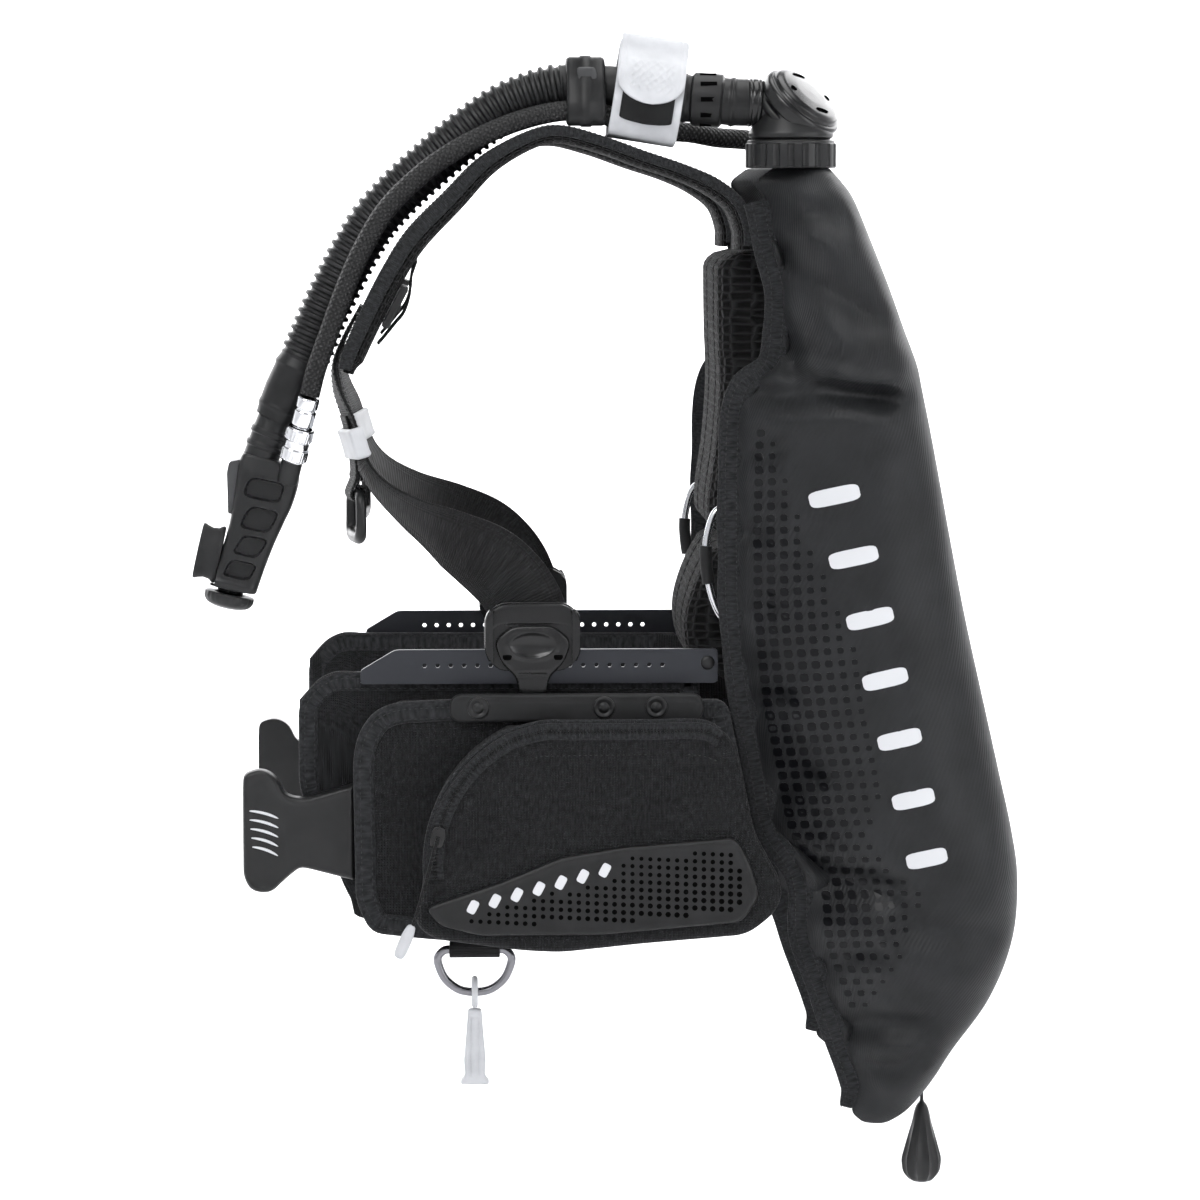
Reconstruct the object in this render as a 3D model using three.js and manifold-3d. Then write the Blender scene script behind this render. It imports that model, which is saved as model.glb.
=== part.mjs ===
// Buoyancy compensator vest for scuba diving, in millimetres.
// +X points at the diver's back (towards the cylinder), -Y is the diver's left side and +Z is up.
// The origin is the middle of the rubber grip pad that the cylinder rests against.

import * as THREE from 'three';
import { LoftGeometry } from 'three/addons/geometries/LoftGeometry.js';
import { mergeVertices } from 'three/addons/utils/BufferGeometryUtils.js';
import Module from 'manifold-3d';

const wasm = await Module();
wasm.setup();

// ---------------------------------------------------------------- driving dimensions

const GAP = 0.3;                     // between pieces that touch

const plate = { front: -14, back: -6, top: 160, bottom: -190, halfWidth: 90, slotInner: 50, slotOuter: 74 };
const gripPad = { halfWidth: 25, halfHeight: 90 };
const band = { middle: -62, width: 50, thickness: 2.5, halfWidth: 90.5, rear: 99 };
const cam = { halfWidth: 30, plateThickness: 5, leverThickness: 4.5, pinRadius: 1.8, axisY: 22 };
const pads = { halfWidth: 86, round: 4, front: -46.5, lumbarFront: -68 };
const tape = { width: 16, thickness: 3 };
const shoulder = { width: 70, corner: 3 };
const webbing = { width: 50, thickness: 2.5, tailWidth: 26 };
const pullRing = { width: 50, height: 37, wire: 3.5, bar: [-291, -100, -1], turn: 10 };
const keeper = { height: 21, wall: 2.6, room: 0.9 };
const rail = { outer: -135.5, thickness: 4, top: -104, bottom: -127, front: -288, rear: -49,
  holes: 19, pitch: 8.85, firstHole: -245.4, holeHeight: -114.7, holeRadius: 1.65 };
const buckle = { middle: -173.3, width: 63, top: -73, bottom: -117, outer: -152, inner: -127 };
const tongue = { width: 52, legWidth: 20, top: -87, bottom: -134, thickness: 5, recess: 6 };
const panel = { outer: -131, thickness: 8 };
const pocket = { inner: -150, base: 8, bulge: 30, arc: [-147, -241], arcRadius: 99 };
const guard = { thickness: 5 };
const pouch = { front: -292, rear: -110, top: -188, bottom: -264, thickness: 15, inner: -133 };
const handle = { thickness: 13, inner: -134 };
const zip = { radius: 92, startAngle: 168, length: 11, width: 8, height: 4 };
const knife = { front: -229, rear: -60, middle: -140.2, height: 18.6, thickness: 6 };
const dRing = { middle: -212.5, y: -145, barHeight: -305, halfWidth: 25, depth: 29, wire: 3 };
const clip = { loop: 8.9, wire: 2.2, top: -344, bottom: -397 };
const hose = { radius: 17 };
const lowPressure = { radius: 6.8 };
const flange = { x: 0, y: -120, z: 216.4, ring: 30.5, ringHeight: 18.6, bore: 26.4 };
const elbowPipe = { radius: 14.2, height: 259.9, y: -118, end: -27.3 };
const cap = { middle: [8, -120, 260.5], normal: [0.58, -0.40, 0.71], radius: 29.5, half: 8 };
const inflator = { neck: [-354.2, -104, 24], neckUp: [0.36, 0, 0.933], neckLength: 24, down: [-0.2205, 0, -0.9754] };
const coupling = { top: [-321.1, -129.5, 65.5], down: [-0.2567, 0.2334, -0.9379], ferrule: 7.5, collar: 9.5 };
const dump = { centre: [85, -372], radius: 23, back: -112, front: -99, cordX: 94, cordY: -104 };

// ---------------------------------------------------------------- materials

function finish(color, roughness, metalness = 0) {
  return new THREE.MeshStandardMaterial({ color, roughness, metalness });
}

const coatedCloth = finish(0x1c1d20, 0.75);
const wovenCloth = finish(0x232427, 0.9);
const meshPad = finish(0x151517, 0.95);
const webCloth = finish(0x17181a, 0.85);
const bindingTape = finish(0x3a3b3f, 0.95);
const satinPlastic = finish(0x1a1a1d, 0.45);
const glossPlastic = finish(0x101013, 0.2);
const greyPlastic = finish(0x77797d, 0.5);
const darkRubber = finish(0x1b1b1e, 0.6);
const lightRubber = finish(0xd9dadc, 0.5);
const chromeMetal = finish(0xc9cbcf, 0.15, 1);
const darkSteel = finish(0x5a5b5f, 0.3, 1);
const lightAlloy = finish(0x4b4c50, 0.4, 0.8);

// ---------------------------------------------------------------- solids and placing

const vest = new THREE.Group();

function flipFaces(geometry) {
  const index = geometry.index.array;
  for (let i = 0; i < index.length; i += 3) {
    const kept = index[i];
    index[i] = index[i + 1];
    index[i + 1] = kept;
  }
}

function signedVolume(geometry) {
  const position = geometry.getAttribute('position');
  const index = geometry.index.array;
  const a = new THREE.Vector3();
  const b = new THREE.Vector3();
  const c = new THREE.Vector3();
  let volume = 0;
  for (let i = 0; i < index.length; i += 3) {
    a.fromBufferAttribute(position, index[i]);
    b.fromBufferAttribute(position, index[i + 1]);
    c.fromBufferAttribute(position, index[i + 2]);
    volume += a.dot(b.cross(c)) / 6;
  }
  return volume;
}

/** The same surface with shared corners, no collapsed triangles, and its faces pointing out. */
function closed(geometry) {
  const bare = new THREE.BufferGeometry();
  bare.setAttribute('position', geometry.getAttribute('position').clone());
  if (geometry.index) bare.setIndex(geometry.index.clone());
  const merged = mergeVertices(bare, 1e-3);
  const index = merged.index.array;
  const kept = [];
  for (let i = 0; i < index.length; i += 3) {
    const [a, b, c] = [index[i], index[i + 1], index[i + 2]];
    if (a !== b && b !== c && c !== a) kept.push(a, b, c);
  }
  merged.setIndex(kept);
  if (signedVolume(merged) < 0) flipFaces(merged);
  return merged;
}

function toSolid(geometry) {
  const mesh = closed(geometry);
  return new wasm.Manifold(new wasm.Mesh({
    numProp: 3,
    vertProperties: new Float32Array(mesh.getAttribute('position').array),
    triVerts: new Uint32Array(mesh.index.array),
  }));
}

function toGeometry(solid) {
  const mesh = solid.getMesh();
  const geometry = new THREE.BufferGeometry();
  geometry.setAttribute('position', new THREE.BufferAttribute(mesh.vertProperties, mesh.numProp));
  geometry.setIndex(new THREE.BufferAttribute(mesh.triVerts, 1));
  return geometry;
}

function join(...geometries) {
  return toGeometry(geometries.map(toSolid).reduce((a, b) => a.add(b)));
}

function cut(geometry, ...tools) {
  return toGeometry(tools.map(toSolid).reduce((a, b) => a.subtract(b), toSolid(geometry)));
}

function add(name, geometry, material, place = vest) {
  const shaped = closed(geometry);
  shaped.computeVertexNormals();
  const mesh = new THREE.Mesh(shaped, material);
  mesh.name = name;
  place.add(mesh);
}

/** A piece on the diver's left, and its mirror image on the right. */
function addPair(name, geometry, material) {
  add(`${name}_left`, geometry, material);
  add(`${name}_right`, closed(geometry).scale(1, -1, 1), material);
}

// ---------------------------------------------------------------- shapes

/** A flat outline of [x, y] corners, each rounded off by its own or the common radius. */
function outline(corners, radius = 0) {
  const shape = new THREE.Shape();
  const points = corners.map(([x, y]) => new THREE.Vector2(x, y));
  points.forEach((corner, i) => {
    const before = points[(i + points.length - 1) % points.length];
    const after = points[(i + 1) % points.length];
    const reach = Math.min(corners[i][2] ?? radius, corner.distanceTo(before) / 2.1, corner.distanceTo(after) / 2.1);
    const from = corner.clone().lerp(before, reach / corner.distanceTo(before));
    const to = corner.clone().lerp(after, reach / corner.distanceTo(after));
    if (i === 0) shape.moveTo(from.x, from.y);
    else shape.lineTo(from.x, from.y);
    if (reach > 0) shape.quadraticCurveTo(corner.x, corner.y, to.x, to.y);
  });
  return shape;
}

function rectangle(x0, x1, y0, y1, radius = 0) {
  return outline([[x0, y0], [x1, y0], [x1, y1], [x0, y1]], radius);
}

/** A closed skin over sections of matching points, with both ends capped, whichever way they wind. */
function skinned(sections) {
  const [first, second] = sections;
  const middle = (points) => points.reduce((sum, p) => sum.add(p), new THREE.Vector3()).divideScalar(points.length);
  const start = middle(first);
  const normal = new THREE.Vector3();
  first.forEach((p, i) => {
    const next = first[(i + 1) % first.length];
    normal.add(p.clone().sub(start).cross(next.clone().sub(start)));
  });
  const backward = normal.dot(middle(second).sub(start)) < 0;
  const ordered = backward ? sections.map((points) => [...points].reverse()) : sections;
  return new LoftGeometry(ordered, { capStart: true, capEnd: true });
}

function extruded(shape, depth, bevel, curveSegments) {
  return new THREE.ExtrudeGeometry(shape, {
    depth: depth - 2 * bevel,
    curveSegments,
    bevelEnabled: bevel > 0,
    bevelSize: bevel,
    bevelThickness: bevel,
    bevelOffset: -bevel,
    bevelSegments: 2,
  }).translate(0, 0, bevel);
}

/** An outline in X and Z, grown from the plane y = inner towards the diver's left. */
function slabY(shape, inner, depth, bevel = 0, curveSegments = 2) {
  return extruded(shape, depth, bevel, curveSegments).rotateX(Math.PI / 2).translate(0, inner, 0);
}

/** An outline in Y and Z, grown from the plane x = start towards +X. */
function slabX(shape, start, depth, bevel = 0, curveSegments = 2) {
  const turn = new THREE.Matrix4().makeBasis(
    new THREE.Vector3(0, 1, 0), new THREE.Vector3(0, 0, 1), new THREE.Vector3(1, 0, 0));
  return extruded(shape, depth, bevel, curveSegments).applyMatrix4(turn).translate(start, 0, 0);
}

function block(x0, x1, y0, y1, z0, z1) {
  return new THREE.BoxGeometry(x1 - x0, y1 - y0, z1 - z0).translate((x0 + x1) / 2, (y0 + y1) / 2, (z0 + z1) / 2);
}

/** A turned piece about its own Y axis, from [radius, height] pairs that start and end on the axis. */
function turned(profile, sides = 20) {
  return new THREE.LatheGeometry(profile.map(([r, h]) => new THREE.Vector2(r, h)), sides);
}

/** A turned tube from [radius, height] pairs that close on themselves. */
function turnedRing(profile, sides = 20) {
  return turned([...profile, profile[0]], sides);
}

/** Carries a shape made about its own Y axis to a point, with that axis along a direction. */
function aimed(geometry, point, direction) {
  const turn = new THREE.Quaternion().setFromUnitVectors(
    new THREE.Vector3(0, 1, 0), new THREE.Vector3(...direction).normalize());
  return geometry.applyQuaternion(turn).translate(...point);
}

function smoothTube(points, radius, sides, steps) {
  const path = new THREE.CatmullRomCurve3(points.map((p) => new THREE.Vector3(...p)));
  const section = new THREE.Shape();
  for (let i = 0; i < sides; i += 1) {
    const angle = (i / sides) * 2 * Math.PI;
    const corner = [radius * Math.cos(angle), radius * Math.sin(angle)];
    if (i === 0) section.moveTo(...corner);
    else section.lineTo(...corner);
  }
  section.closePath();
  return new THREE.ExtrudeGeometry(section, { extrudePath: path, steps });
}

/**
 * A strip along rows of [x, y, z, turn, thickness]: its broad face looks forward at turn 0 and
 * outward, to the diver's left, at turn 90, and its corners are cut off by corner.
 */
function ribbon(rows, width, steps, corner = 0) {
  const path = new THREE.CatmullRomCurve3(
    rows.map(([x, y, z]) => new THREE.Vector3(x, y, z)), false, 'catmullrom');
  const shape = new THREE.CatmullRomCurve3(
    rows.map((row) => new THREE.Vector3(row[3], row[4], 0)), false, 'catmullrom');
  const sections = [];
  for (let i = 0; i <= steps; i += 1) {
    const centre = path.getPoint(i / steps);
    const along = path.getTangent(i / steps);
    const { x: turn, y: thickness } = shape.getPoint(i / steps);
    const angle = THREE.MathUtils.degToRad(turn);
    const across = new THREE.Vector3(Math.sin(angle), -Math.cos(angle), 0);
    across.addScaledVector(along, -across.dot(along)).normalize();
    const up = new THREE.Vector3().crossVectors(along, across);
    const [w, t] = [width / 2, thickness / 2];
    const corners = corner > 0
      ? [[w, -t + corner], [w, t - corner], [w - corner, t], [-w + corner, t],
        [-w, t - corner], [-w, -t + corner], [-w + corner, -t], [w - corner, -t]]
      : [[w, -t], [w, t], [-w, t], [-w, -t]];
    sections.push(corners.map(([a, b]) => centre.clone().addScaledVector(across, a).addScaledVector(up, b)));
  }
  return skinned(sections);
}

/** A closed wire of round section through corner points that lie in one plane. */
function wireRing(points, normal, radius, sides, steps) {
  const path = new THREE.CatmullRomCurve3(points.map((p) => new THREE.Vector3(...p)), true, 'centripetal');
  const side = new THREE.Vector3(...normal).normalize();
  const sections = [];
  for (let i = 0; i <= steps; i += 1) {
    const share = (i % steps) / steps;
    const centre = path.getPointAt(share);
    const outward = new THREE.Vector3().crossVectors(path.getTangentAt(share), side).normalize();
    sections.push(Array.from({ length: sides }, (_, k) => {
      const angle = (k / sides) * 2 * Math.PI;
      return centre.clone()
        .addScaledVector(outward, radius * Math.cos(angle))
        .addScaledVector(side, radius * Math.sin(angle));
    }));
  }
  return new LoftGeometry(sections);
}

/** A flat band of cloth standing on edge, closed on itself along [x, y] points about one height. */
function closedBand(points, middle, width, thickness, steps) {
  const path = new THREE.CatmullRomCurve3(points.map(([x, y]) => new THREE.Vector3(x, y, middle)), true, 'centripetal');
  const sections = [];
  for (let i = 0; i <= steps; i += 1) {
    const share = (i % steps) / steps;
    const centre = path.getPointAt(share);
    const tangent = path.getTangentAt(share);
    const outward = new THREE.Vector3(tangent.y, -tangent.x, 0).normalize();
    sections.push([[1, 1], [-1, 1], [-1, -1], [1, -1]].map(([a, b]) => centre.clone()
      .addScaledVector(outward, (a * thickness) / 2)
      .setZ(middle + (b * width) / 2)));
  }
  return new LoftGeometry(sections);
}

// ---------------------------------------------------------------- air cell

// Stations down a lobe: height, front of its edge tape, back, middle in Y and half thickness.
const lobeStations = [
  [216, -26, 26, -120, 23], [207, -36, 34, -121, 29], [195, -32.7, 42, -123, 34], [165, -26, 54, -128, 40],
  [136, -19.3, 65, -133, 44], [110, -20, 74, -138, 47], [86.5, -24.4, 82.5, -141, 48], [70, -44.3, 86, -143, 49],
  [30, -50, 94, -145, 50], [-70, -50, 113, -147, 50], [-137, -43, 128, -147, 50], [-185, -33, 139, -146, 49],
  [-225, -24.7, 148, -145, 48], [-258.6, -4.4, 152.6, -144, 46], [-299.4, -0.9, 150, -142, 42],
  [-340, 13, 135, -140, 36], [-375, 25, 111, -138, 30], [-402, 34, 94, -136, 21], [-419, 30, 80, -135, 12],
  [-428, 38, 66, -135, 4],
];

/** One lobe: every level is a teardrop with its point forward, at the seam. */
function lobe() {
  const sides = 20;
  const sections = lobeStations.map(([z, front, back, y, half]) => {
    const tip = front + tape.width + GAP;
    const [middle, reach] = [(tip + back) / 2, (back - tip) / 2];
    return Array.from({ length: sides }, (_, i) => {
      const angle = ((i / sides) * 2 - 1) * Math.PI;
      const swell = (Math.sin(angle) * Math.cos(angle / 2)) / 0.77;
      return new THREE.Vector3(middle + reach * Math.cos(angle), y + half * swell, z);
    });
  });
  return skinned(sections);
}

/** The tube behind the neck that joins both lobes. */
function neckBridge() {
  const [x, z, halfDepth, halfHeight] = [plate.back + GAP + 20, 155, 20, 45];
  const sections = [-118, -70, 0, 70, 118].map((y) => Array.from({ length: 16 }, (_, i) => {
    const angle = (i / 16) * 2 * Math.PI;
    return new THREE.Vector3(x + halfDepth * Math.cos(angle), y, z + halfHeight * Math.sin(angle));
  }));
  return skinned(sections);
}

function valvePocket() {
  const depth = 30;
  return aimed(turned([[0, 0], [dump.radius + GAP, 0], [dump.radius + GAP, depth], [0, depth]]),
    [dump.centre[0], dump.back - GAP, dump.centre[1]], [0, 1, 0]);
}

function airCell() {
  const left = lobe();
  const right = closed(left).scale(1, -1, 1);
  return cut(join(left, neckBridge(), right), valvePocket());
}

/** The binding over the lobe's front seam. */
function edgeTape() {
  const sections = lobeStations.slice(2, -2).map(([z, front, , y]) => {
    const [x0, x1, y0, y1] = [front, front + tape.width, y - tape.thickness / 2, y + tape.thickness / 2];
    return [[x0, y0], [x1, y0], [x1, y1], [x0, y1]].map(([x, yy]) => new THREE.Vector3(x, yy, z));
  });
  return skinned(sections);
}

function makeAirCell() {
  add('air_cell', airCell(), coatedCloth);
  addPair('wing_edge_tape', edgeTape(), bindingTape);
}

// ---------------------------------------------------------------- back unit

function backplate() {
  const shape = outline([
    [-70, plate.top, 20], [-plate.halfWidth, 90, 20], [-plate.halfWidth, -150, 20], [-60, plate.bottom, 20],
    [60, plate.bottom, 20], [plate.halfWidth, -150, 20], [plate.halfWidth, 90, 20], [70, plate.top, 20],
  ]);
  const slotHalf = band.width / 2 + 2;
  const slots = [-1, 1].map((side) => {
    const [a, b] = [side * plate.slotInner, side * plate.slotOuter].sort((p, q) => p - q);
    return block(plate.front - 1, plate.back + 1, a, b, band.middle - slotHalf, band.middle + slotHalf);
  });
  return cut(slabX(shape, plate.front, plate.back - plate.front), ...slots);
}

/** A pad with this side profile of [x, z] corners, drawn in a little at both sides. */
function cushion(profile) {
  const box = new THREE.Box2().setFromPoints(profile.map(([x, z]) => new THREE.Vector2(x, z)));
  const middle = box.getCenter(new THREE.Vector2());
  const size = box.getSize(new THREE.Vector2());
  const levels = [[-pads.halfWidth, pads.round], [pads.round - pads.halfWidth, 0],
    [pads.halfWidth - pads.round, 0], [pads.halfWidth, pads.round]];
  return skinned(levels.map(([y, inset]) => profile.map(([x, z]) => new THREE.Vector3(
    middle.x + (x - middle.x) * (1 - (2 * inset) / size.x), y,
    middle.y + (z - middle.y) * (1 - (2 * inset) / size.y)))));
}

function makeBackUnit() {
  const rear = plate.front - GAP;
  const notch = rear - band.thickness - 2;
  add('backplate', backplate(), satinPlastic);
  add('tank_grip_pad', block(plate.back + GAP, 0, -gripPad.halfWidth, gripPad.halfWidth,
    -gripPad.halfHeight, gripPad.halfHeight), darkRubber);
  add('back_pad', cushion([[rear, 161], [-40, 161], [pads.front, 150], [-45.7, 106], [-44.5, 70], [-47, 30],
    [-52, -8], [-51, -28], [-45, -34], [rear, -34]]), meshPad);
  const lumbar = cushion([[rear, -36.5], [-46, -36.5], [-58, -58], [-66, -80], [pads.lumbarFront, -98],
    [-64, -118], [-54, -130], [-40, -134], [rear, -134]]);
  const bandRecess = block(notch, rear + 1, -pads.halfWidth - 1, pads.halfWidth + 1, -90, -30);
  add('lumbar_pad', cut(lumbar, bandRecess), meshPad);
}

// ---------------------------------------------------------------- cylinder band and its cam buckle

function makeTankBand() {
  const front = plate.front - 0.8 - band.thickness / 2;
  const half = [[front, 0], [front, 30], [front, 49], [-10, 63], [2, 71], [20, 83], [46, band.halfWidth - 1.3],
    [74, 80], [92, 54], [98, 25]];
  const other = half.slice(1).reverse().map(([x, y]) => [x, -y]);
  add('tank_band', closedBand([...half, [band.rear, 0], ...other], band.middle, band.width, band.thickness, 44),
    webCloth);

  const inner = band.rear + band.thickness / 2 + GAP;
  const outer = inner + cam.plateThickness;
  const halfHeight = band.width / 2 + 5;
  const axisX = outer + 4;
  const [low, high] = [band.middle - halfHeight, band.middle + halfHeight];
  const base = block(inner, outer, -cam.halfWidth, cam.halfWidth, low, high);
  const ears = [[low, low + 4], [high - 4, high]].map(([z0, z1]) => block(
    outer - 1, axisX + 4, cam.axisY - 5, cam.axisY + 5, z0, z1));
  const pinAlong = (radius, length) => aimed(
    turned([[0, -length / 2], [radius, -length / 2], [radius, length / 2], [0, length / 2]], 12),
    [axisX, cam.axisY, band.middle], [0, 0, 1]);
  add('cam_buckle_frame', cut(join(base, ...ears), pinAlong(cam.pinRadius + GAP, 2 * halfHeight + 2)), darkSteel);

  const leverHalf = halfHeight - 4 - GAP;
  const leverPlate = block(outer + GAP + 1.2, outer + GAP + 1.2 + cam.leverThickness, -26, cam.axisY,
    band.middle - leverHalf, band.middle + leverHalf);
  add('cam_buckle_lever', join(leverPlate, pinAlong(3.4, 2 * leverHalf), pinAlong(cam.pinRadius, 2 * halfHeight)),
    satinPlastic);
}

// ---------------------------------------------------------------- shoulder straps

const shoulderRows = [
  [-30, -85, 162, 0, 12], [-30.5, -85, 176, 0, 12], [-37, -86, 192, 0, 12], [-52, -88, 204, 0, 12],
  [-73, -91, 213.5, 0, 11], [-100, -94, 222.5, 0, 11], [-127, -97, 232, 0, 11], [-154, -99, 238.6, 0, 11.5],
  [-174, -100, 234.6, 0, 12], [-201, -100, 219, 0, 13.5], [-225, -100, 194.5, 0, 15], [-250.5, -100, 168, 0, 16],
  [-266.6, -100, 143, 0, 16], [-280.5, -100, 116, 0, 16], [-291.5, -100, 92, 0, 15], [-295.5, -100, 80, 0, 12],
];
const webbingRows = [
  [-289.9, -100, 119.5, 0, 2.5], [-301.8, -100, 96, 1, 2.5], [-305.2, -100, 82, 3, 2.5], [-302.5, -100, 66, 7, 2.5],
  [-296.3, -100, 50, 10, 2.5], [-291, -100, 33, 10, 2.5], [-284.5, -101.5, 15, 13, 2.5], [-273, -105.5, 0, 22, 2.5],
  [-254, -112, -15, 38, 2.5], [-227, -121, -31, 58, 2.5], [-202, -128.6, -45.5, 73, 2.5],
  [-188.5, -132.6, -57.5, 82, 2.5], [-179.5, -134.7, -70, 88, 2.5], [-173.8, -135.2, -83, 90, 2.5],
];
const strapLine = { point: [-291, -100, 33], along: [0.284, 0, -0.9588], across: [0.1736, -0.9848, 0] };

/** A point on the straight of the strap: so far along it, and so far out from its face. */
function onStrap(along, out) {
  const direction = new THREE.Vector3(...strapLine.along);
  const across = new THREE.Vector3(...strapLine.across);
  across.addScaledVector(direction, -across.dot(direction)).normalize();
  const outward = new THREE.Vector3().crossVectors(across, direction).negate();
  if (outward.x > 0) outward.negate();
  return new THREE.Vector3(...strapLine.point).addScaledVector(direction, along).addScaledVector(outward, out);
}

function straightStrip(from, to, out, width, thickness) {
  const rows = [from, (from + to) / 2, to].map((along) => [...onStrap(along, out), pullRing.turn, thickness]);
  return ribbon(rows, width, 2);
}

function strapWithTail() {
  const strap = ribbon(webbingRows, webbing.width, 110);
  const loopOuter = pullRing.wire + 0.4 + 2;
  const across = [Math.sin(THREE.MathUtils.degToRad(pullRing.turn)), -Math.cos(THREE.MathUtils.degToRad(pullRing.turn)), 0];
  const half = webbing.tailWidth / 2;
  const top = onStrap(-16, webbing.thickness - 0.1);
  const middle = onStrap(12, webbing.thickness - 0.1);
  const [x, y, z] = pullRing.bar;
  const tail = ribbon([[...top, pullRing.turn, 2.5], [...middle, pullRing.turn, 2.5],
    [x - 1, y, z + loopOuter + 6, pullRing.turn, 2.5], [x, y, z + loopOuter - 1, pullRing.turn, 2.5]],
  webbing.tailWidth, 8);
  const loop = aimed(turned([[0, -half], [loopOuter, -half], [loopOuter, half], [0, half]], 12), pullRing.bar, across);
  const bore = aimed(turned([[0, -half - 2], [pullRing.wire + 0.4, -half - 2], [pullRing.wire + 0.4, half + 2],
    [0, half + 2]], 12), pullRing.bar, across);
  return cut(join(strap, tail, loop), bore);
}

function ringGeometry() {
  const angle = THREE.MathUtils.degToRad(pullRing.turn);
  const across = new THREE.Vector3(Math.sin(angle), -Math.cos(angle), 0);
  const down = new THREE.Vector3(0, 0, -1);
  const [w, h] = [pullRing.width / 2 - pullRing.wire, pullRing.height - 2 * pullRing.wire];
  const start = new THREE.Vector3(...pullRing.bar);
  const flat = [[0, 0], [w - 7, 0], [w - 2, 2], [w, 8], [w, h - 10], [w - 3, h - 3], [w - 10, h], [0, h],
    [10 - w, h], [3 - w, h - 3], [-w, h - 10], [-w, 8], [2 - w, 2], [7 - w, 0]];
  const points = flat.map(([a, b]) => start.clone().addScaledVector(across, a).addScaledVector(down, b).toArray());
  const normal = new THREE.Vector3().crossVectors(across, down).toArray();
  return wireRing(points, normal, pullRing.wire, 8, 28);
}

function keeperGeometry() {
  const layers = 2 * webbing.thickness;
  const out = webbing.thickness / 2;
  const inner = [webbing.width + 2 * keeper.room, layers + 2 * keeper.room];
  const outer = inner.map((size) => size + 2 * keeper.wall);
  const half = keeper.height / 2;
  return cut(straightStrip(-half, half, out, outer[0], outer[1]),
    straightStrip(-half - 3, half + 3, out, inner[0], inner[1]));
}

/** The ladder buckle on the front of the shoulder pad: a frame with two slots across. */
function adjusterGeometry() {
  const shape = rectangle(-30, 30, -15, 15, 6);
  shape.holes.push(rectangle(-26, 26, -10, -3));
  shape.holes.push(rectangle(-26, 26, 3, 10));
  const along = new THREE.Vector3(-0.457, 0, -0.889).normalize();
  const across = new THREE.Vector3(0, -1, 0);
  const outward = new THREE.Vector3().crossVectors(across, along);
  const seat = new THREE.Vector3(-274, -100, 129.2).addScaledVector(outward, 8 + GAP);
  const turn = new THREE.Matrix4().makeBasis(across, along, outward).setPosition(seat);
  return extruded(shape, 5, 0, 2).applyMatrix4(turn);
}

function makeShoulderStraps() {
  addPair('shoulder_strap', ribbon(shoulderRows, shoulder.width, 30, shoulder.corner), meshPad);
  addPair('strap_adjuster', adjusterGeometry(), satinPlastic);
  addPair('strap_webbing', strapWithTail(), webCloth);
  addPair('strap_keeper', keeperGeometry(), lightRubber);
  addPair('pull_ring', ringGeometry(), satinPlastic);
}

// ---------------------------------------------------------------- rail and its buckle

function railGeometry() {
  const shape = outline([[rail.rear, rail.bottom, 3], [rail.rear, rail.top, 3], [-265, rail.top, 3],
    [rail.front, -117.7, 2], [rail.front, rail.bottom, 2]]);
  for (let i = 0; i < rail.holes; i += 1) {
    const hole = new THREE.Path();
    hole.absarc(rail.firstHole + i * rail.pitch, rail.holeHeight, rail.holeRadius, 0, 2 * Math.PI, true);
    shape.holes.push(hole);
  }
  return slabY(shape, rail.outer + rail.thickness, rail.thickness, 0, 3);
}

/** The tongue's front outline: a round head over a narrow leg, grown all round by extra. */
function tongueOutline(extra) {
  const [x, w, leg] = [buckle.middle, tongue.width / 2 + extra, tongue.legWidth / 2 + extra];
  return outline([[x - w * 0.55, tongue.top + extra], [x + w * 0.55, tongue.top + extra], [x + w, -97],
    [x + w * 0.8, -112], [x + leg, -122], [x + leg, tongue.bottom - extra], [x - leg, tongue.bottom - extra],
    [x - leg, -122], [x - w * 0.8, -112], [x - w, -97]], 5);
}

function makeBuckles() {
  const half = buckle.width / 2;
  const body = slabY(outline([[buckle.middle - half, -80], [buckle.middle - half + 9, buckle.top],
    [buckle.middle + half - 9, buckle.top], [buckle.middle + half, -80], [buckle.middle + half, -106],
    [buckle.middle + half - 9, buckle.bottom], [buckle.middle - half + 9, buckle.bottom],
    [buckle.middle - half, -106]], 6), buckle.inner, buckle.inner - buckle.outer);
  const railSlot = block(buckle.middle - half - 1, buckle.middle + half + 1, rail.outer - GAP,
    rail.outer + rail.thickness + GAP, rail.bottom, rail.top + GAP);
  const webSlot = block(buckle.middle - webbing.width / 2 - 5.2, buckle.middle + webbing.width / 2 + 5.2,
    -135.2 - webbing.thickness / 2 - 0.9, -135.2 + webbing.thickness / 2 + 2.6, -96, buckle.top + 1);
  const tongueSlot = block(buckle.middle - tongue.width / 2 - 0.4, buckle.middle + tongue.width / 2 + 0.4,
    buckle.outer - 1, buckle.outer + tongue.recess, buckle.bottom - 1, buckle.top + 1);
  addPair('rail_buckle', cut(body, railSlot, webSlot, tongueSlot), glossPlastic);
  addPair('buckle_tongue', slabY(tongueOutline(0), buckle.outer + tongue.recess - GAP, tongue.thickness),
    satinPlastic);
  addPair('waist_rail', railGeometry(), lightAlloy);
}

// ---------------------------------------------------------------- waist panels, pockets and weight pouches

// Stations along a waist panel: x, y of its middle, direction of its face, top and bottom.
const panelStations = [
  [-18.5, -60, -90, -150, -262], [-18.5, -84, -88, -146, -264], [-30, -104, -50, -139, -268],
  [-48, -116, -28, -124, -276], [-72, -124.6, -10, -121, -286], [-100, -127, 0, -120, -290], [-200, -127, 0, -120, -290], [-284, -127, 0, -119.5, -287],
  [-296, -127, 0, -119, -272], [-306, -127, 0, -119.5, -250], [-317, -126.5, 4, -125, -228], [-329, -125, 8, -138, -200],
];

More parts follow.
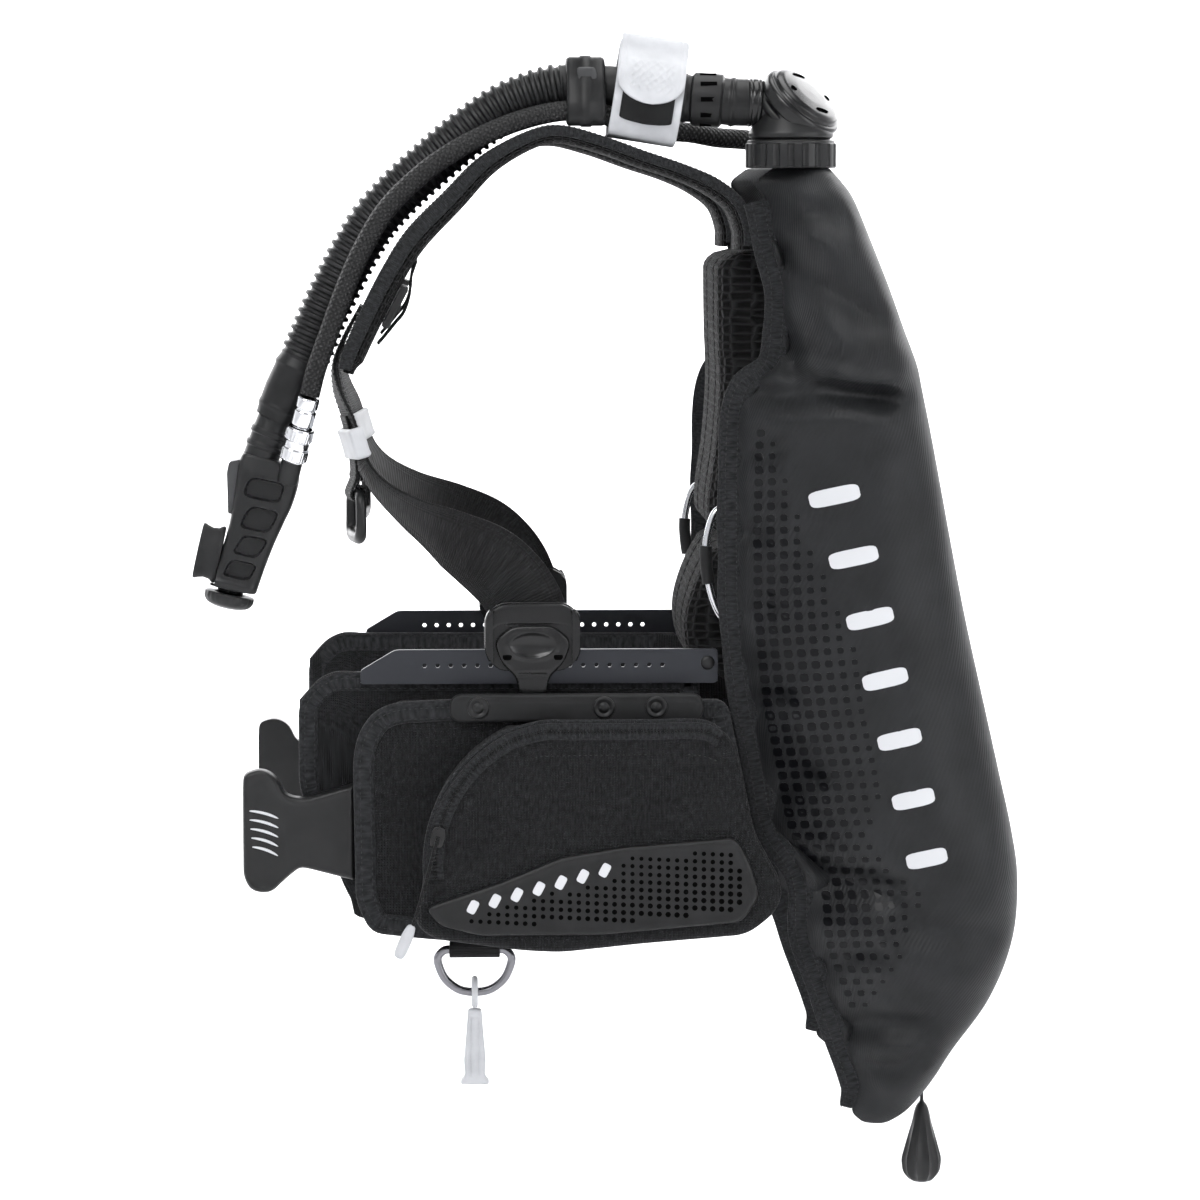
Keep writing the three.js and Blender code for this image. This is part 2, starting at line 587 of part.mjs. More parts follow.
function panelGeometry() {
  const half = panel.thickness / 2;
  const sections = panelStations.map(([x, y, turn, top, bottom]) => {
    const angle = THREE.MathUtils.degToRad(turn);
    const [dx, dy] = [-half * Math.sin(angle), -half * Math.cos(angle)];
    return [[x + dx, y + dy, top], [x - dx, y - dy, top], [x - dx, y - dy, bottom], [x + dx, y + dy, bottom]]
      .map((p) => new THREE.Vector3(...p));
  });
  return skinned(sections);
}

/** Points of the arc that the pocket's zip follows, between two angles in degrees. */
function zipArc(radius, from, to, count) {
  return Array.from({ length: count }, (_, i) => {
    const angle = THREE.MathUtils.degToRad(from + ((to - from) * i) / (count - 1));
    return [pocket.arc[0] + radius * Math.cos(angle), pocket.arc[1] + radius * Math.sin(angle)];
  });
}

function pocketGeometry() {
  const rearEdge = [[-45, -137], [-35, -185], [-27, -225], [-8, -260], [-13, -275], [-32, -290]];
  const base = slabY(outline([[-225, -136], [-265, -138], [-279, -144], [-289, -159], [-292, -176], [-290.5, -270],
    [-281, -290.5], [-249, -294.2], [-182, -300], [-156, -301.5], [-102, -296], ...[...rearEdge].reverse()], 4),
  pocket.inner, pocket.base + 1);
  const bulge = slabY(outline([...zipArc(pocket.arcRadius, 178, 116, 7), [-150, -151.8], [-58, -151.8], [-42.5, -158],
    ...rearEdge.slice(1), [-102, -295.5], [-156, -301], [-182, -299.5], [-240, -291.5], [-253, -281],
    [-247, -260]], 4), pocket.inner - pocket.base, pocket.bulge, 5, 1);
  const wallTop = pouch.top + 2;
  const wallBottom = pouch.bottom - 2;
  const depth = panel.outer - GAP - pocket.inner + 1;
  const topWall = slabY(outline([[-262, -137], [-284, -150], [-287, wallTop], [-36, wallTop], [-46, -137]]),
    panel.outer - GAP, depth);
  const bottomWall = slabY(outline([[-285, wallBottom], [-278, -286], [-100, -289], [-60, -286], [-60, wallBottom]]),
    panel.outer - GAP, depth);
  return join(base, bulge, topWall, bottomWall);
}

function guardGeometry() {
  const face = pocket.inner - pocket.base - pocket.bulge;
  return slabY(outline([[-245.6, -268.9], [-196, -252.5], [-156, -236.1], [-116.5, -229.6], [-40, -223.5],
    [-31, -240], [-24, -262], [-36, -280], [-129.7, -287.8], [-209.3, -287.9], [-236, -281]], 6),
  face - GAP, guard.thickness, 1.5, 1);
}

function handleGeometry() {
  return slabY(outline([[-367, -197], [-366.5, -186], [-355, -182.4], [-345, -187], [-339, -200], [-328, -202],
    [pouch.front - GAP, -193], [pouch.front - GAP, -258.4], [-322, -250.5], [-329, -249], [-339, -258],
    [-349, -267], [-362, -264.7], [-367, -255]], 4), handle.inner, handle.thickness, 2, 1);
}

function makeWaist() {
  addPair('waist_panel', panelGeometry(), wovenCloth);
  addPair('cargo_pocket', pocketGeometry(), wovenCloth);
  addPair('pocket_guard', guardGeometry(), darkRubber);
  addPair('weight_pouch', slabY(rectangle(pouch.front, pouch.rear, pouch.bottom, pouch.top, 8), pouch.inner,
    pouch.thickness), webCloth);
  addPair('weight_handle', handleGeometry(), satinPlastic);
}

// ---------------------------------------------------------------- left side fittings

function makeZip() {
  const face = pocket.inner - pocket.base - pocket.bulge;
  const [[x, z]] = zipArc(zip.radius, zip.startAngle, 0, 2);
  const slider = slabY(rectangle(-zip.width / 2, zip.width / 2, -zip.length / 2, zip.length / 2, 2), 0, zip.height)
    .rotateY(-THREE.MathUtils.degToRad(zip.startAngle - 180)).translate(x, face - GAP, z);
  add('zip_slider_left', slider, satinPlastic);
  const y = face - GAP - zip.height - GAP - 2;
  const clear = y - 4;
  const cord = smoothTube([[x, y, z], [x - 5, y - 1.5, z - 18], [x - 10, y - 3, z - 37], [x - 15, clear, z - 53], [x - 18.5, clear, z - 62]],
    1.6, 8, 8);
  const end = aimed(turned([[0, 0], [3.2, 1], [4.2, 8], [4, 20], [2.6, 23], [0, 23.4]], 10),
    [x - 17.6, clear, z - 59], [-0.4, 0, -0.9165]);
  add('zip_pull_left', join(cord, end), lightRubber);
}

function makeKnifeMount() {
  const shape = rectangle(knife.front, knife.rear, knife.middle - knife.height / 2, knife.middle + knife.height / 2, 9);
  add('knife_mount_left', slabY(shape, pocket.inner - pocket.base - 1 - GAP, knife.thickness, 0, 3), darkRubber);
}

function makeDRing() {
  const { middle: x, y, barHeight: z, halfWidth: w, depth: d } = dRing;
  const points = [[0, 0], [w - 9, 0], [w - 4, -1], [w - 0.5, -5], [w - 1, -11], [w * 0.78, -d * 0.7], [w * 0.42, -d * 0.94],
    [0, -d], [-w * 0.42, -d * 0.94], [-w * 0.78, -d * 0.7], [1 - w, -11], [0.5 - w, -5], [4 - w, -1], [9 - w, 0]].map(([a, b]) => [x + a, y, z + b]);
  add('d_ring_left', wireRing(points, [0, 1, 0], dRing.wire, 8, 30), darkSteel);

  const hole = dRing.wire + 0.5;
  const wall = hole + 2;
  const half = w - 8;
  const loop = slabX(rectangle(y - wall, y + wall, z - wall, z + wall, 3), x - half, 2 * half);
  const bore = aimed(turned([[0, -half - 2], [hole, -half - 2], [hole, half + 2], [0, half + 2]], 12), [x, y, z], [1, 0, 0]);
  add('d_ring_tab_left', cut(loop, bore), webCloth);

  const centre = z - d;
  const ring = aimed(new THREE.TorusGeometry(clip.loop, clip.wire, 8, 20).rotateX(Math.PI / 2), [x, y, centre], [1, 0, 0]);
  const body = slabY(outline([[x - 5, clip.top + 1], [x + 5, clip.top + 1], [x + 6, -360], [x + 7.5, -380],
    [x + 5, clip.bottom], [x - 5, clip.bottom], [x - 7.5, -380], [x - 6, -360]], 3), y + 3, 6);
  add('clip_left', join(ring, body), lightRubber);
}

// ---------------------------------------------------------------- elbow and corrugated hose

const hoseRoute = [
  [-28.6, -118, 259.9], [-37, -118, 260.1], [-53, -116.5, 261.5], [-72, -114, 263], [-93, -112, 265.8], [-115, -110, 268.3],
  [-137, -108.5, 269.8], [-155, -108, 268.8], [-174, -107, 263.7], [-194, -106, 254.8], [-215.5, -106, 239.8],
  [-238, -105.5, 221], [-259, -105, 202], [-277, -105, 182.5], [-290.5, -105, 161.5], [-301.5, -105, 141],
  [-311.5, -105, 120.5], [-320.5, -105, 100], [-333, -104.5, 73],
  [-339.5, -104.2, 60], [-344.9, -104, 48.5],
];

const pressureRoute = [
  [-320.9, -129.7, 66.2], [-316.2, -131.5, 84], [-307.6, -132, 108], [-298, -131.5, 134], [-286.5, -131, 160.5],
  [-269.5, -130.5, 189], [-247, -129.7, 211.5], [-227, -129.6, 226], [-207, -129.5, 237], [-187, -129.3, 245.6],
  [-166, -129, 251.8], [-146, -128.8, 254.4], [-127, -126.5, 252.5], [-108, -120.5, 245], [-88, -107, 241.3],
  [-67, -93, 240.3], [-46, -80, 237], [-25, -68, 235.5], [-5, -58, 231], [13, -50, 221], [27, -44.5, 205],
  [37, -41, 186], [42.5, -39.5, 165], [44.5, -39, 143], [44.5, -39, 121], [44.5, -39, 99], [44.5, -39, 76],
];

function knurledRing() {
  const shape = new THREE.Shape();
  const teeth = 20;
  for (let i = 0; i < teeth; i += 1) {
    const step = (2 * Math.PI) / teeth;
    [[0.06, flange.ring], [0.66, flange.ring], [0.72, flange.ring - 1.4], [1, flange.ring - 1.4]].forEach(([share, r], k) => {
      const angle = (i + share) * step;
      const corner = [r * Math.cos(angle), r * Math.sin(angle)];
      if (i === 0 && k === 0) shape.moveTo(...corner);
      else shape.lineTo(...corner);
    });
  }
  shape.closePath();
  const bore = new THREE.Path();
  bore.absarc(0, 0, flange.bore, 0, 2 * Math.PI, true);
  shape.holes.push(bore);
  return new THREE.ExtrudeGeometry(shape, { depth: flange.ringHeight, bevelEnabled: false, curveSegments: 14 })
    .translate(flange.x, flange.y, flange.z);
}

function elbowBody() {
  const stub = flange.bore - GAP;
  const up = [0, 0, 1];
  const top = flange.ringHeight + GAP;
  const tower = aimed(turned([[0, 0], [stub, 0], [stub, top], [stub + 1.5, top], [stub + 1.5, top + 4], [24, top + 12],
    [19, top + 22], [11, top + 29], [0, top + 31]], 20), [flange.x, flange.y, flange.z], up);
  const length = 34;
  const pipe = aimed(turned([[0, 0], [elbowPipe.radius, 0], [elbowPipe.radius, length], [0, length]], 18),
    [elbowPipe.end, elbowPipe.y, elbowPipe.height], [1, 0, 0]);
  const back = cap.half + GAP;
  const seat = aimed(turned([[0, -back], [25, -back], [25, -back - 5], [20, -back - 22], [0, -back - 22]], 18),
    cap.middle, cap.normal);
  const room = aimed(turned([[0, -back], [cap.radius + 0.5, -back], [cap.radius + 0.5, 60], [0, 60]], 24),
    cap.middle, cap.normal);
  return cut(join(tower, pipe, seat), room);
}

function makeElbow() {
  add('elbow_lock_ring', knurledRing(), satinPlastic);
  add('elbow_body', elbowBody(), satinPlastic);
  const r = cap.radius;
  add('elbow_cap', aimed(turned([[0, -cap.half], [r - 1.5, -cap.half], [r, 1 - cap.half], [r, 1.5], [r - 3.5, 4.5],
    [r - 7, cap.half], [0, cap.half]], 24), cap.middle, cap.normal), glossPlastic);
}

/** A shape across the hoses, in Y and Z, with a length along X and a lean about Y. */
function acrossHoses(shape, x, length, lean) {
  const height = 262;
  return slabX(shape, -length / 2, length).translate(0, 0, -height)
    .rotateY(THREE.MathUtils.degToRad(lean)).translate(x, 0, height);
}

/** The soft guide with a round hole for each hose. */
function hoseGuide() {
  const big = { y: -108.5, z: 269.8, r: hose.radius + 1.3 };
  const small = { y: -128.4, z: 253.9, r: lowPressure.radius + 1.8 };
  const shape = outline([[big.y + 20.5, big.z - 9], [big.y + 20.5, big.z + 9], [big.y + 9, big.z + 20.5],
    [big.y - 9, big.z + 20.5], [big.y - 21, big.z + 7], [small.y - 10, small.z + 5], [small.y - 10, small.z - 5],
    [small.y - 4, small.z - 10], [small.y + 8, small.z - 9.5], [big.y + 9, big.z - 20.5]], 4);
  const [x, length] = [-137, 26];
  const holes = [big, small].map(({ y, z, r }) => aimed(
    turned([[0, -1], [r, -1], [r, length + 1], [0, length + 1]], 20), [x - length / 2, y, z], [1, 0, 0]));
  const leaving = aimed(turned([[0, 0], [small.r, 0], [small.r, 30], [0, 30]], 20),
    [x, small.y, small.z], [29, 9.4, -7.7]);
  return cut(acrossHoses(shape, x, length, 0), ...holes, leaving);
}

/** The strap wrapped round both hoses, with its pull tab standing up at the top. */
function hoseStrap() {
  const inner = [[-89.5, 262], [-93, 279], [-102, 287.5], [-118, 287], [-129, 279], [-136, 262], [-136, 247], [-129, 237.6],
    [-113, 235.4], [-94, 235.4], [-89, 242]];
  const outer = [[-87, 262], [-91, 280], [-100, 290], [-104, 299], [-114, 299.5], [-119, 290], [-131, 280.5],
    [-138.5, 263], [-138.5, 246], [-130.5, 235.6], [-113.5, 233.3], [-93, 233.3], [-86.6, 241]];
  const shape = outline(outer);
  shape.holes.push(outline(inner));
  return acrossHoses(shape, -96, 46, 9);
}

function makeHoses() {
  add('corrugated_hose', smoothTube(hoseRoute, hose.radius, 10, 30), darkRubber);
  add('lp_hose', smoothTube(pressureRoute, lowPressure.radius, 8, 40), darkRubber);
  add('hose_guide', hoseGuide(), darkRubber);
  add('hose_strap', hoseStrap(), lightRubber);
  add('lp_hose_fitting', aimed(turned([[0, 0], [6.9, 0], [6.9, 9], [8.8, 9], [8.8, 22], [4.7, 23], [4.7, 36], [0, 36]], 12),
    [44.5, -39, 76 - GAP], [0, 0, -1]), chromeMetal);
}

// ---------------------------------------------------------------- power inflator

// The inflator is drawn about its neck: a to the diver's front, b across and c down its length.
const down = new THREE.Vector3(...inflator.down).normalize();
const forward = new THREE.Vector3(0, -1, 0).cross(down).negate();
const inflatorFrame = new THREE.Matrix4().makeBasis(forward, new THREE.Vector3(0, -1, 0), down)
  .setPosition(...inflator.neck);

/** An outline of [a, c] corners, grown across the inflator by half to each side. */
function inflatorSlab(corners, half, bevel, radius) {
  const turn = new THREE.Matrix4().makeBasis(
    new THREE.Vector3(1, 0, 0), new THREE.Vector3(0, 0, 1), new THREE.Vector3(0, 1, 0));
  return extruded(outline(corners, radius), 2 * half, bevel, 2).translate(0, 0, -half).applyMatrix4(turn)
    .applyMatrix4(inflatorFrame);
}

function inflatorTurned(profile, a, sides) {
  const turn = new THREE.Matrix4().makeBasis(
    new THREE.Vector3(1, 0, 0), new THREE.Vector3(0, 0, 1), new THREE.Vector3(0, -1, 0));
  return turned(profile, sides).applyMatrix4(turn).translate(a, 0, 0).applyMatrix4(inflatorFrame);
}

// Stations down the inflator: distance, front, rear and half width.
const bulkStations = [
  [0, 12.6, -12.6, 12.6], [6.5, 14, -26, 14], [13, 13.6, -28.4, 15], [28, 12.4, -27.3, 15], [40, 11.6, -24.6, 15],
  [56, 11.6, -21.2, 15], [73, 13.4, -18.5, 15], [91.5, 17, -16.3, 15.5],
];

/** The inflator's casing: a rounded rectangle at every station. */
function inflatorBulk() {
  const round = 5;
  const corner = [[round, 0], [0.3 * round, 0.3 * round], [0, round]];
  const sections = bulkStations.map(([c, front, rear, half]) => {
    const sides = [[front, half, -1, -1], [rear, half, 1, -1], [rear, -half, 1, 1], [front, -half, -1, 1]];
    return sides.flatMap(([a, b, inA, inB], i) => {
      const points = i % 2 === 0 ? [...corner].reverse() : corner;
      return points.map(([p, q]) => new THREE.Vector3(a + inA * p, b + inB * q, c));
    });
  });
  return skinned(sections).applyMatrix4(inflatorFrame);
}

function mouthpieceOval(scale, from, to) {
  const oval = Array.from({ length: 14 }, (_, i) => {
    const angle = (i / 14) * 2 * Math.PI;
    return [71 + 19 * scale * Math.cos(angle), 12.5 * scale * Math.sin(angle)];
  });
  return skinned([from, to].map((a) => oval.map(([c, b]) => new THREE.Vector3(a, b, c))))
    .applyMatrix4(inflatorFrame);
}

function couplingTurned(profile, sides = 14) {
  return aimed(turned(profile, sides), coupling.top, coupling.down);
}

function makeInflator() {
  const bulk = inflatorBulk();
  const seat = inflatorSlab([[12.5 - GAP, 50], [40, 50], [40, 100], [12.5 - GAP, 100]], 20, 0, 0);
  const recess = inflatorSlab([[7.6, 3.2], [30, 3.2], [30, 43], [7.6, 43]], 8.4, 0, 0);
  const nipple = couplingTurned([[0, 30.3], [5, 30.3], [5, 62], [0, 62]]);
  const neck = aimed(turned([[0, -1], [12.2, -1], [12.2, inflator.neckLength], [0, inflator.neckLength]], 18),
    inflator.neck, inflator.neckUp);
  add('inflator_body', join(cut(bulk, seat, recess), nipple, neck), satinPlastic);
  add('inflate_button', inflatorSlab([[11.2, 4], [20.2, 8], [20.2, 15], [13.5, 42], [11.2, 42]], 8, 0, 1.5), greyPlastic);
  add('mouthpiece', cut(mouthpieceOval(1, 12.5, 28), mouthpieceOval(0.62, 16, 30)), darkRubber);
  const rim = 17;
  add('deflate_button', inflatorTurned([[0, 95], [rim, 95], [rim, 99], [rim - 4, 104], [0, 105.5]], 1, 18), satinPlastic);

  add('lp_hose_ferrule', couplingTurned([[0, 0.6], [coupling.ferrule, 0.6], [coupling.ferrule, 30], [0, 30]]), chromeMetal);
  const c = coupling.collar;
  add('quick_release_collar', aimed(turnedRing([[7.9, 22.5], [c - 1, 22.5], [c, 24], [c, 31], [c - 1, 32], [c - 1, 45],
    [c - 2, 46.5], [5.6, 46.5], [5.6, 34], [7.9, 34]], 14), coupling.top, coupling.down), chromeMetal);
}

// ---------------------------------------------------------------- lower dump valve and side loops

function makeDumpValve() {
  const [x, z] = dump.centre;
  const r = dump.radius;
  const depth = dump.front - dump.back;
  const disc = aimed(turned([[0, 0], [r, 0], [r, depth - 3], [r - 4, depth], [0, depth]], 20), [x, dump.back, z], [0, 1, 0]);
  const boss = aimed(turned([[0, 0], [4.5, 0], [4, 16], [0, 16]], 12), [dump.cordX, dump.cordY, z - 14], [0, 0, -1]);
  const bore = aimed(turned([[0, 0], [2, 0], [2, 30], [0, 30]], 12), [dump.cordX, dump.cordY, z - 16.5], [0, 0, -1]);
  add('dump_valve', cut(join(disc, boss), bore), satinPlastic);
  add('dump_pull', aimed(turned([[0, 0], [1.5, 0], [1.5, 32], [4, 34], [6, 44], [11, 60], [14, 71], [12.5, 81],
    [7, 86.5], [0, 87.5]], 12), [dump.cordX, dump.cordY, -388.8], [0, 0, -1]), satinPlastic);
}

function makeSideLoops() {
  const start = -plate.halfWidth - GAP;
  addPair('side_loop', smoothTube([[-10, start, -14], [-10, -93, -14], [-14, -99, -13], [-22, -106, -11], [-36, -114, -10], [-49, -119, -13],
    [-55, -120, -29], [-56, -120, -46], [-53, -120, -66], [-46, -118, -83], [-34, -113, -91], [-21, -106, -92],
    [-14, -99, -90], [-10, -93, -88.5], [-10, start, -88.5]], 2.7, 8, 26), darkSteel);
}

makeAirCell();
makeBackUnit();
makeTankBand();
makeShoulderStraps();
makeBuckles();
makeWaist();
makeZip();
makeKnifeMount();
makeDRing();
makeElbow();
makeHoses();
makeInflator();
makeDumpValve();
makeSideLoops();

export default vest;
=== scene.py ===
"""Looks of a buoyancy compensator vest for scuba diving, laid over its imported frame.

Shapes are worked out in millimetres in the frame of the part: +X points at the diver's back,
-Y is the diver's left side and +Z is up. They are put into the meshes in metres.
"""

import math

import bpy
import numpy as np
from mathutils.geometry import delaunay_2d_cdt
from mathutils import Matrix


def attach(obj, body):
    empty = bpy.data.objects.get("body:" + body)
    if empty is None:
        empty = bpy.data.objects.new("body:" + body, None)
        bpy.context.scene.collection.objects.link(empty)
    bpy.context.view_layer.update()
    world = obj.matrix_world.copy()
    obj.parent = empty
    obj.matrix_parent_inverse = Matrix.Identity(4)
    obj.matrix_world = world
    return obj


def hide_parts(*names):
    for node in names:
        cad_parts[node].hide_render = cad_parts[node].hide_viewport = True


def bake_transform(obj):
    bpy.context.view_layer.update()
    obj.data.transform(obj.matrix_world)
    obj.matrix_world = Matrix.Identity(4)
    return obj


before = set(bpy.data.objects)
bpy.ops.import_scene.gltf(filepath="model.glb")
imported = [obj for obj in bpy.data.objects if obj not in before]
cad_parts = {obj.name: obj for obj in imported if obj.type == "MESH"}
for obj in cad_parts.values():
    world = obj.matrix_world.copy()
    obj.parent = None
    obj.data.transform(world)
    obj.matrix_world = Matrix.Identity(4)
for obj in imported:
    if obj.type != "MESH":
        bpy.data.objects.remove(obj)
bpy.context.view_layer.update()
MM = 0.001
UP = np.array([0.0, 0.0, 1.0])
SIDES = (("left", 1.0), ("right", -1.0))


def ramp(value, width):
    """Nought up to nought, one from width on, straight between them."""
    return np.clip(value / width, 0.0, 1.0)


def bell(value, width):
    """One at nought, falling away on both sides as the exponential of minus the square of value over width."""
    return np.exp(-((value / width) ** 2))


def full_turn(count):
    """Even angles once round a circle, without the last, which is the first again."""
    return np.linspace(0.0, 2 * math.pi, count, endpoint=False)


def oval(angle, power):
    """Cosine and sine, each raised to a power with its sign kept: below one, a circle grows square."""
    c, s = np.cos(angle), np.sin(angle)
    return np.sign(c) * np.abs(c) ** power, np.sign(s) * np.abs(s) ** power


def upright(flat, y):
    """Points in X and Z stood up in space at one Y."""
    return np.stack([flat[:, 0], np.full(len(flat), y), flat[:, 1]], axis=1)

# ------------------------------------------------------------------ camera, light and backdrop


def add_camera():
    """Stands 3.03 m from the middle of the vest, 2.3 degrees round to its front and 5.5 degrees up."""
    turn, lift, distance = math.radians(-2.3), math.radians(5.5), 3.03
    target = np.array([-0.1225, 0.0, -0.084])
    away = np.array([math.sin(turn) * math.cos(lift), -math.cos(turn) * math.cos(lift), math.sin(lift)])
    data = bpy.data.cameras.new("camera")
    data.sensor_width = 36.0
    data.lens = 36.0 * distance / 0.84
    camera = bpy.data.objects.new("camera", data)
    camera.location = target + away * distance
    camera.rotation_euler = (math.pi / 2 - lift, 0.0, turn)
    bpy.context.scene.collection.objects.link(camera)
    bpy.context.scene.camera = camera


def add_light(name, place, size, power, aim=(-0.1, 0.0, -0.05)):
    """A rectangular light of a size in metres and a power in watts, turned to face its aim."""
    data = bpy.data.lights.new(name, "AREA")
    data.shape = "RECTANGLE"
    data.size, data.size_y = size
    data.energy = power
    light = bpy.data.objects.new(name, data)
    light.location = place
    away = np.array(place) - np.array(aim)
    flat = math.hypot(away[0], away[1])
    light.rotation_euler = (math.atan2(flat, away[2]), 0.0, math.atan2(away[1], away[0]) + math.pi / 2)
    bpy.context.scene.collection.objects.link(light)


def add_backdrop():
    """A round pale floor whose rim sweeps up: radius against height, carried round the Z axis."""
    bend = np.linspace(0.0, math.pi / 2, 14)
    radius = np.concatenate([[0.02, 2.0, 4.0], 5.0 + 2.5 * np.sin(bend), [7.5]])
    height = np.concatenate([[0.0, 0.0, 0.0], 2.5 * (1.0 - np.cos(bend)), [7.0]]) - 0.56
    turn = full_turn(72)
    grid = np.stack([np.outer(radius, np.cos(turn)), np.outer(radius, np.sin(turn)),
                     np.outer(height, np.ones(72))], axis=-1) / MM
    quads, _ = grid_faces(len(radius), 72, True)
    faces = quads.tolist() + [list(range(71, -1, -1))]
    floor = new_mesh("backdrop", grid.reshape(-1, 3), faces, backdrop_paper)


# ------------------------------------------------------------------ meshes from arrays


def new_mesh(name, points, faces, material, uv=None, crease=None):
    """A mesh object from points in millimetres; uv holds one pair, in millimetres, for every face corner."""
    mesh = bpy.data.meshes.new(name)
    mesh.from_pydata((np.asarray(points, float) * MM).tolist(), [], [tuple(map(int, face)) for face in faces])
    if uv is not None:
        layer = mesh.uv_layers.new(name="cloth")
        layer.data.foreach_set("uv", (np.asarray(uv, float) * MM).ravel())
    mesh.polygons.foreach_set("use_smooth", np.ones(len(mesh.polygons), bool))
    if crease is not None:
        mesh.set_sharp_from_angle(angle=math.radians(crease))
    mesh.materials.append(material)
    mesh.update()
    piece = bpy.data.objects.new(name, mesh)
    bpy.context.scene.collection.objects.link(piece)
    return piece


def volume(points, faces):
    """Signed volume of a closed surface, as a sum over the fans of its faces."""
    total = 0.0
    for size in {len(face) for face in faces}:
        block = np.array([face for face in faces if len(face) == size])
        corners = points[block]
        for k in range(1, size - 1):
            total += np.einsum("ij,ij->i", corners[:, 0], np.cross(corners[:, k], corners[:, k + 1])).sum()
    return total / 6.0


def grid_faces(rows, columns, wrap):
    """Quads over a grid, and for each corner its column and row; the last column meets the first if wrap."""
    i, j = np.meshgrid(np.arange(rows - 1), np.arange(columns if wrap else columns - 1), indexing="ij")
    i, j = i.ravel(), j.ravel()
    k = (j + 1) % columns
    quads = np.stack([i * columns + j, i * columns + k, (i + 1) * columns + k, (i + 1) * columns + j], axis=1)
    corners = np.stack([np.stack([j, i], 1), np.stack([j + 1, i], 1),
                        np.stack([j + 1, i + 1], 1), np.stack([j, i + 1], 1)], axis=1)
    return quads, corners.astype(float)


def facing_out(points, faces):
    """The faces as they are, or all turned over if the volume they close comes out below nought."""
    return faces if volume(points, faces) > 0 else [face[::-1] for face in faces]


def skin(grid):
    """Points, faces and corner UVs of a wrapped grid of rings, with both ends filled, facing outwards."""
    rows, columns, _ = grid.shape
    points = grid.reshape(-1, 3)
    quads, corners = grid_faces(rows, columns, True)
    round_step = np.linalg.norm(np.roll(grid, -1, axis=1) - grid, axis=2).mean()
    along = np.concatenate([[0.0], np.cumsum(np.linalg.norm(np.diff(grid.mean(axis=1), axis=0), axis=1))])
    uv = np.stack([corners[..., 0] * round_step, along[corners[..., 1].astype(int)]], axis=-1).reshape(-1, 2)
    faces = quads.tolist() + [list(range(columns))[::-1], list(range((rows - 1) * columns, rows * columns))]
    flat = np.stack([np.cos(np.arange(columns)), np.sin(np.arange(columns))], axis=1) * round_step
    uv = np.concatenate([uv, flat, flat])
    if volume(points, faces) < 0:
        sizes = [len(face) for face in faces]
        faces = [face[::-1] for face in faces]
        cuts = np.split(uv, np.cumsum(sizes)[:-1])
        uv = np.concatenate([block[::-1] for block in cuts])
    return points, faces, uv


def finish_piece(piece, body, replaces=()):
    """Parents a piece to the empty named for its body and hides the CAD nodes it replaces; a piece with no body is left
    without a parent.
    """
    if body:
        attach(piece, body)
    if replaces:
        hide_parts(*replaces)
    return piece


def lofted(name, grid, material, body="vest", replaces=(), crease=40):
    """A piece from rings of points, filled at both ends."""
    points, faces, uv = skin(grid)
    return finish_piece(new_mesh(name, points, faces, material, uv, crease), body, replaces)


def on_both_sides(name, grid, material, body="vest", replaces=(), crease=40):
    """A lofted piece on the left and its mirror image on the right; {} in a name is the side."""
    return [lofted(f"{name}_{side}", grid * [1, sign, 1], material, body.format(side),
                   [node.format(side) for node in replaces], crease) for side, sign in SIDES]


def closed_piece(name, grid, material, body="vest", replaces=(), crease=50, step=1.3):
    """Rings whose last meets the first, so that nothing needs an end; step is the cloth's scale in millimetres."""
    rows, columns, _ = grid.shape
    quads, corners = grid_faces(rows + 1, columns, True)
    points = grid.reshape(-1, 3)
    faces = facing_out(points, (quads % (rows * columns)).tolist())
    uv = (corners * step).reshape(-1, 2)
    return finish_piece(new_mesh(name, points, faces, material, uv, crease), body, replaces)


def stacked_rings(name, rings, material, body, crease):
    """Many small closed shapes in one mesh on each side: for each, rings one above another, filled at both ends."""
    count, levels, sides, _ = rings.shape
    points = rings.reshape(-1, 3)
    base = np.arange(count)[:, None, None] * levels * sides
    row, ring = np.meshgrid(np.arange(levels - 1), np.arange(sides), indexing="ij")
    here, ahead = row * sides + ring, row * sides + (ring + 1) % sides
    quads = np.stack([here, ahead, ahead + sides, here + sides], axis=-1).reshape(1, -1, 4) + base
    ends = np.stack([(levels - 1) * sides + np.arange(sides), np.arange(sides)[::-1]])[None] + base
    faces = quads.reshape(-1, 4).tolist() + ends.reshape(-1, sides).tolist()
    faces = facing_out(points - points.mean(axis=0), faces)
    for side, sign in SIDES:
        these = faces if sign > 0 else [face[::-1] for face in faces]
        finish_piece(new_mesh(f"{name}_{side}", points * [1, sign, 1], these, material, crease=crease),
                     body.format(side), ())


# ------------------------------------------------------------------ paths, tubes, ribbons and slabs


def smooth_path(points, count):
    """Catmull-Rom spline through the points, read at even steps of its length."""
    p = np.asarray(points, float)
    p = np.vstack([2 * p[:1] - p[1:2], p, 2 * p[-1:] - p[-2:-1]])
    t = np.linspace(0.0, len(p) - 3 - 1e-9, 16 * len(p))
    i = t.astype(int)
    f = (t - i)[:, None]
    a, b, c, d = p[i], p[i + 1], p[i + 2], p[i + 3]
    curve = 0.5 * (2 * b + (c - a) * f + (2 * a - 5 * b + 4 * c - d) * f**2 + (3 * b - a - 3 * c + d) * f**3)
    s = path_length(curve)
    even = np.linspace(0.0, s[-1], count)
    return np.stack([np.interp(even, s, curve[:, k]) for k in range(curve.shape[1])], axis=1)


def path_length(path):
    """Length run at each point of a path."""
    return np.concatenate([[0.0], np.cumsum(np.linalg.norm(np.diff(path[:, :3], axis=0), axis=1))])


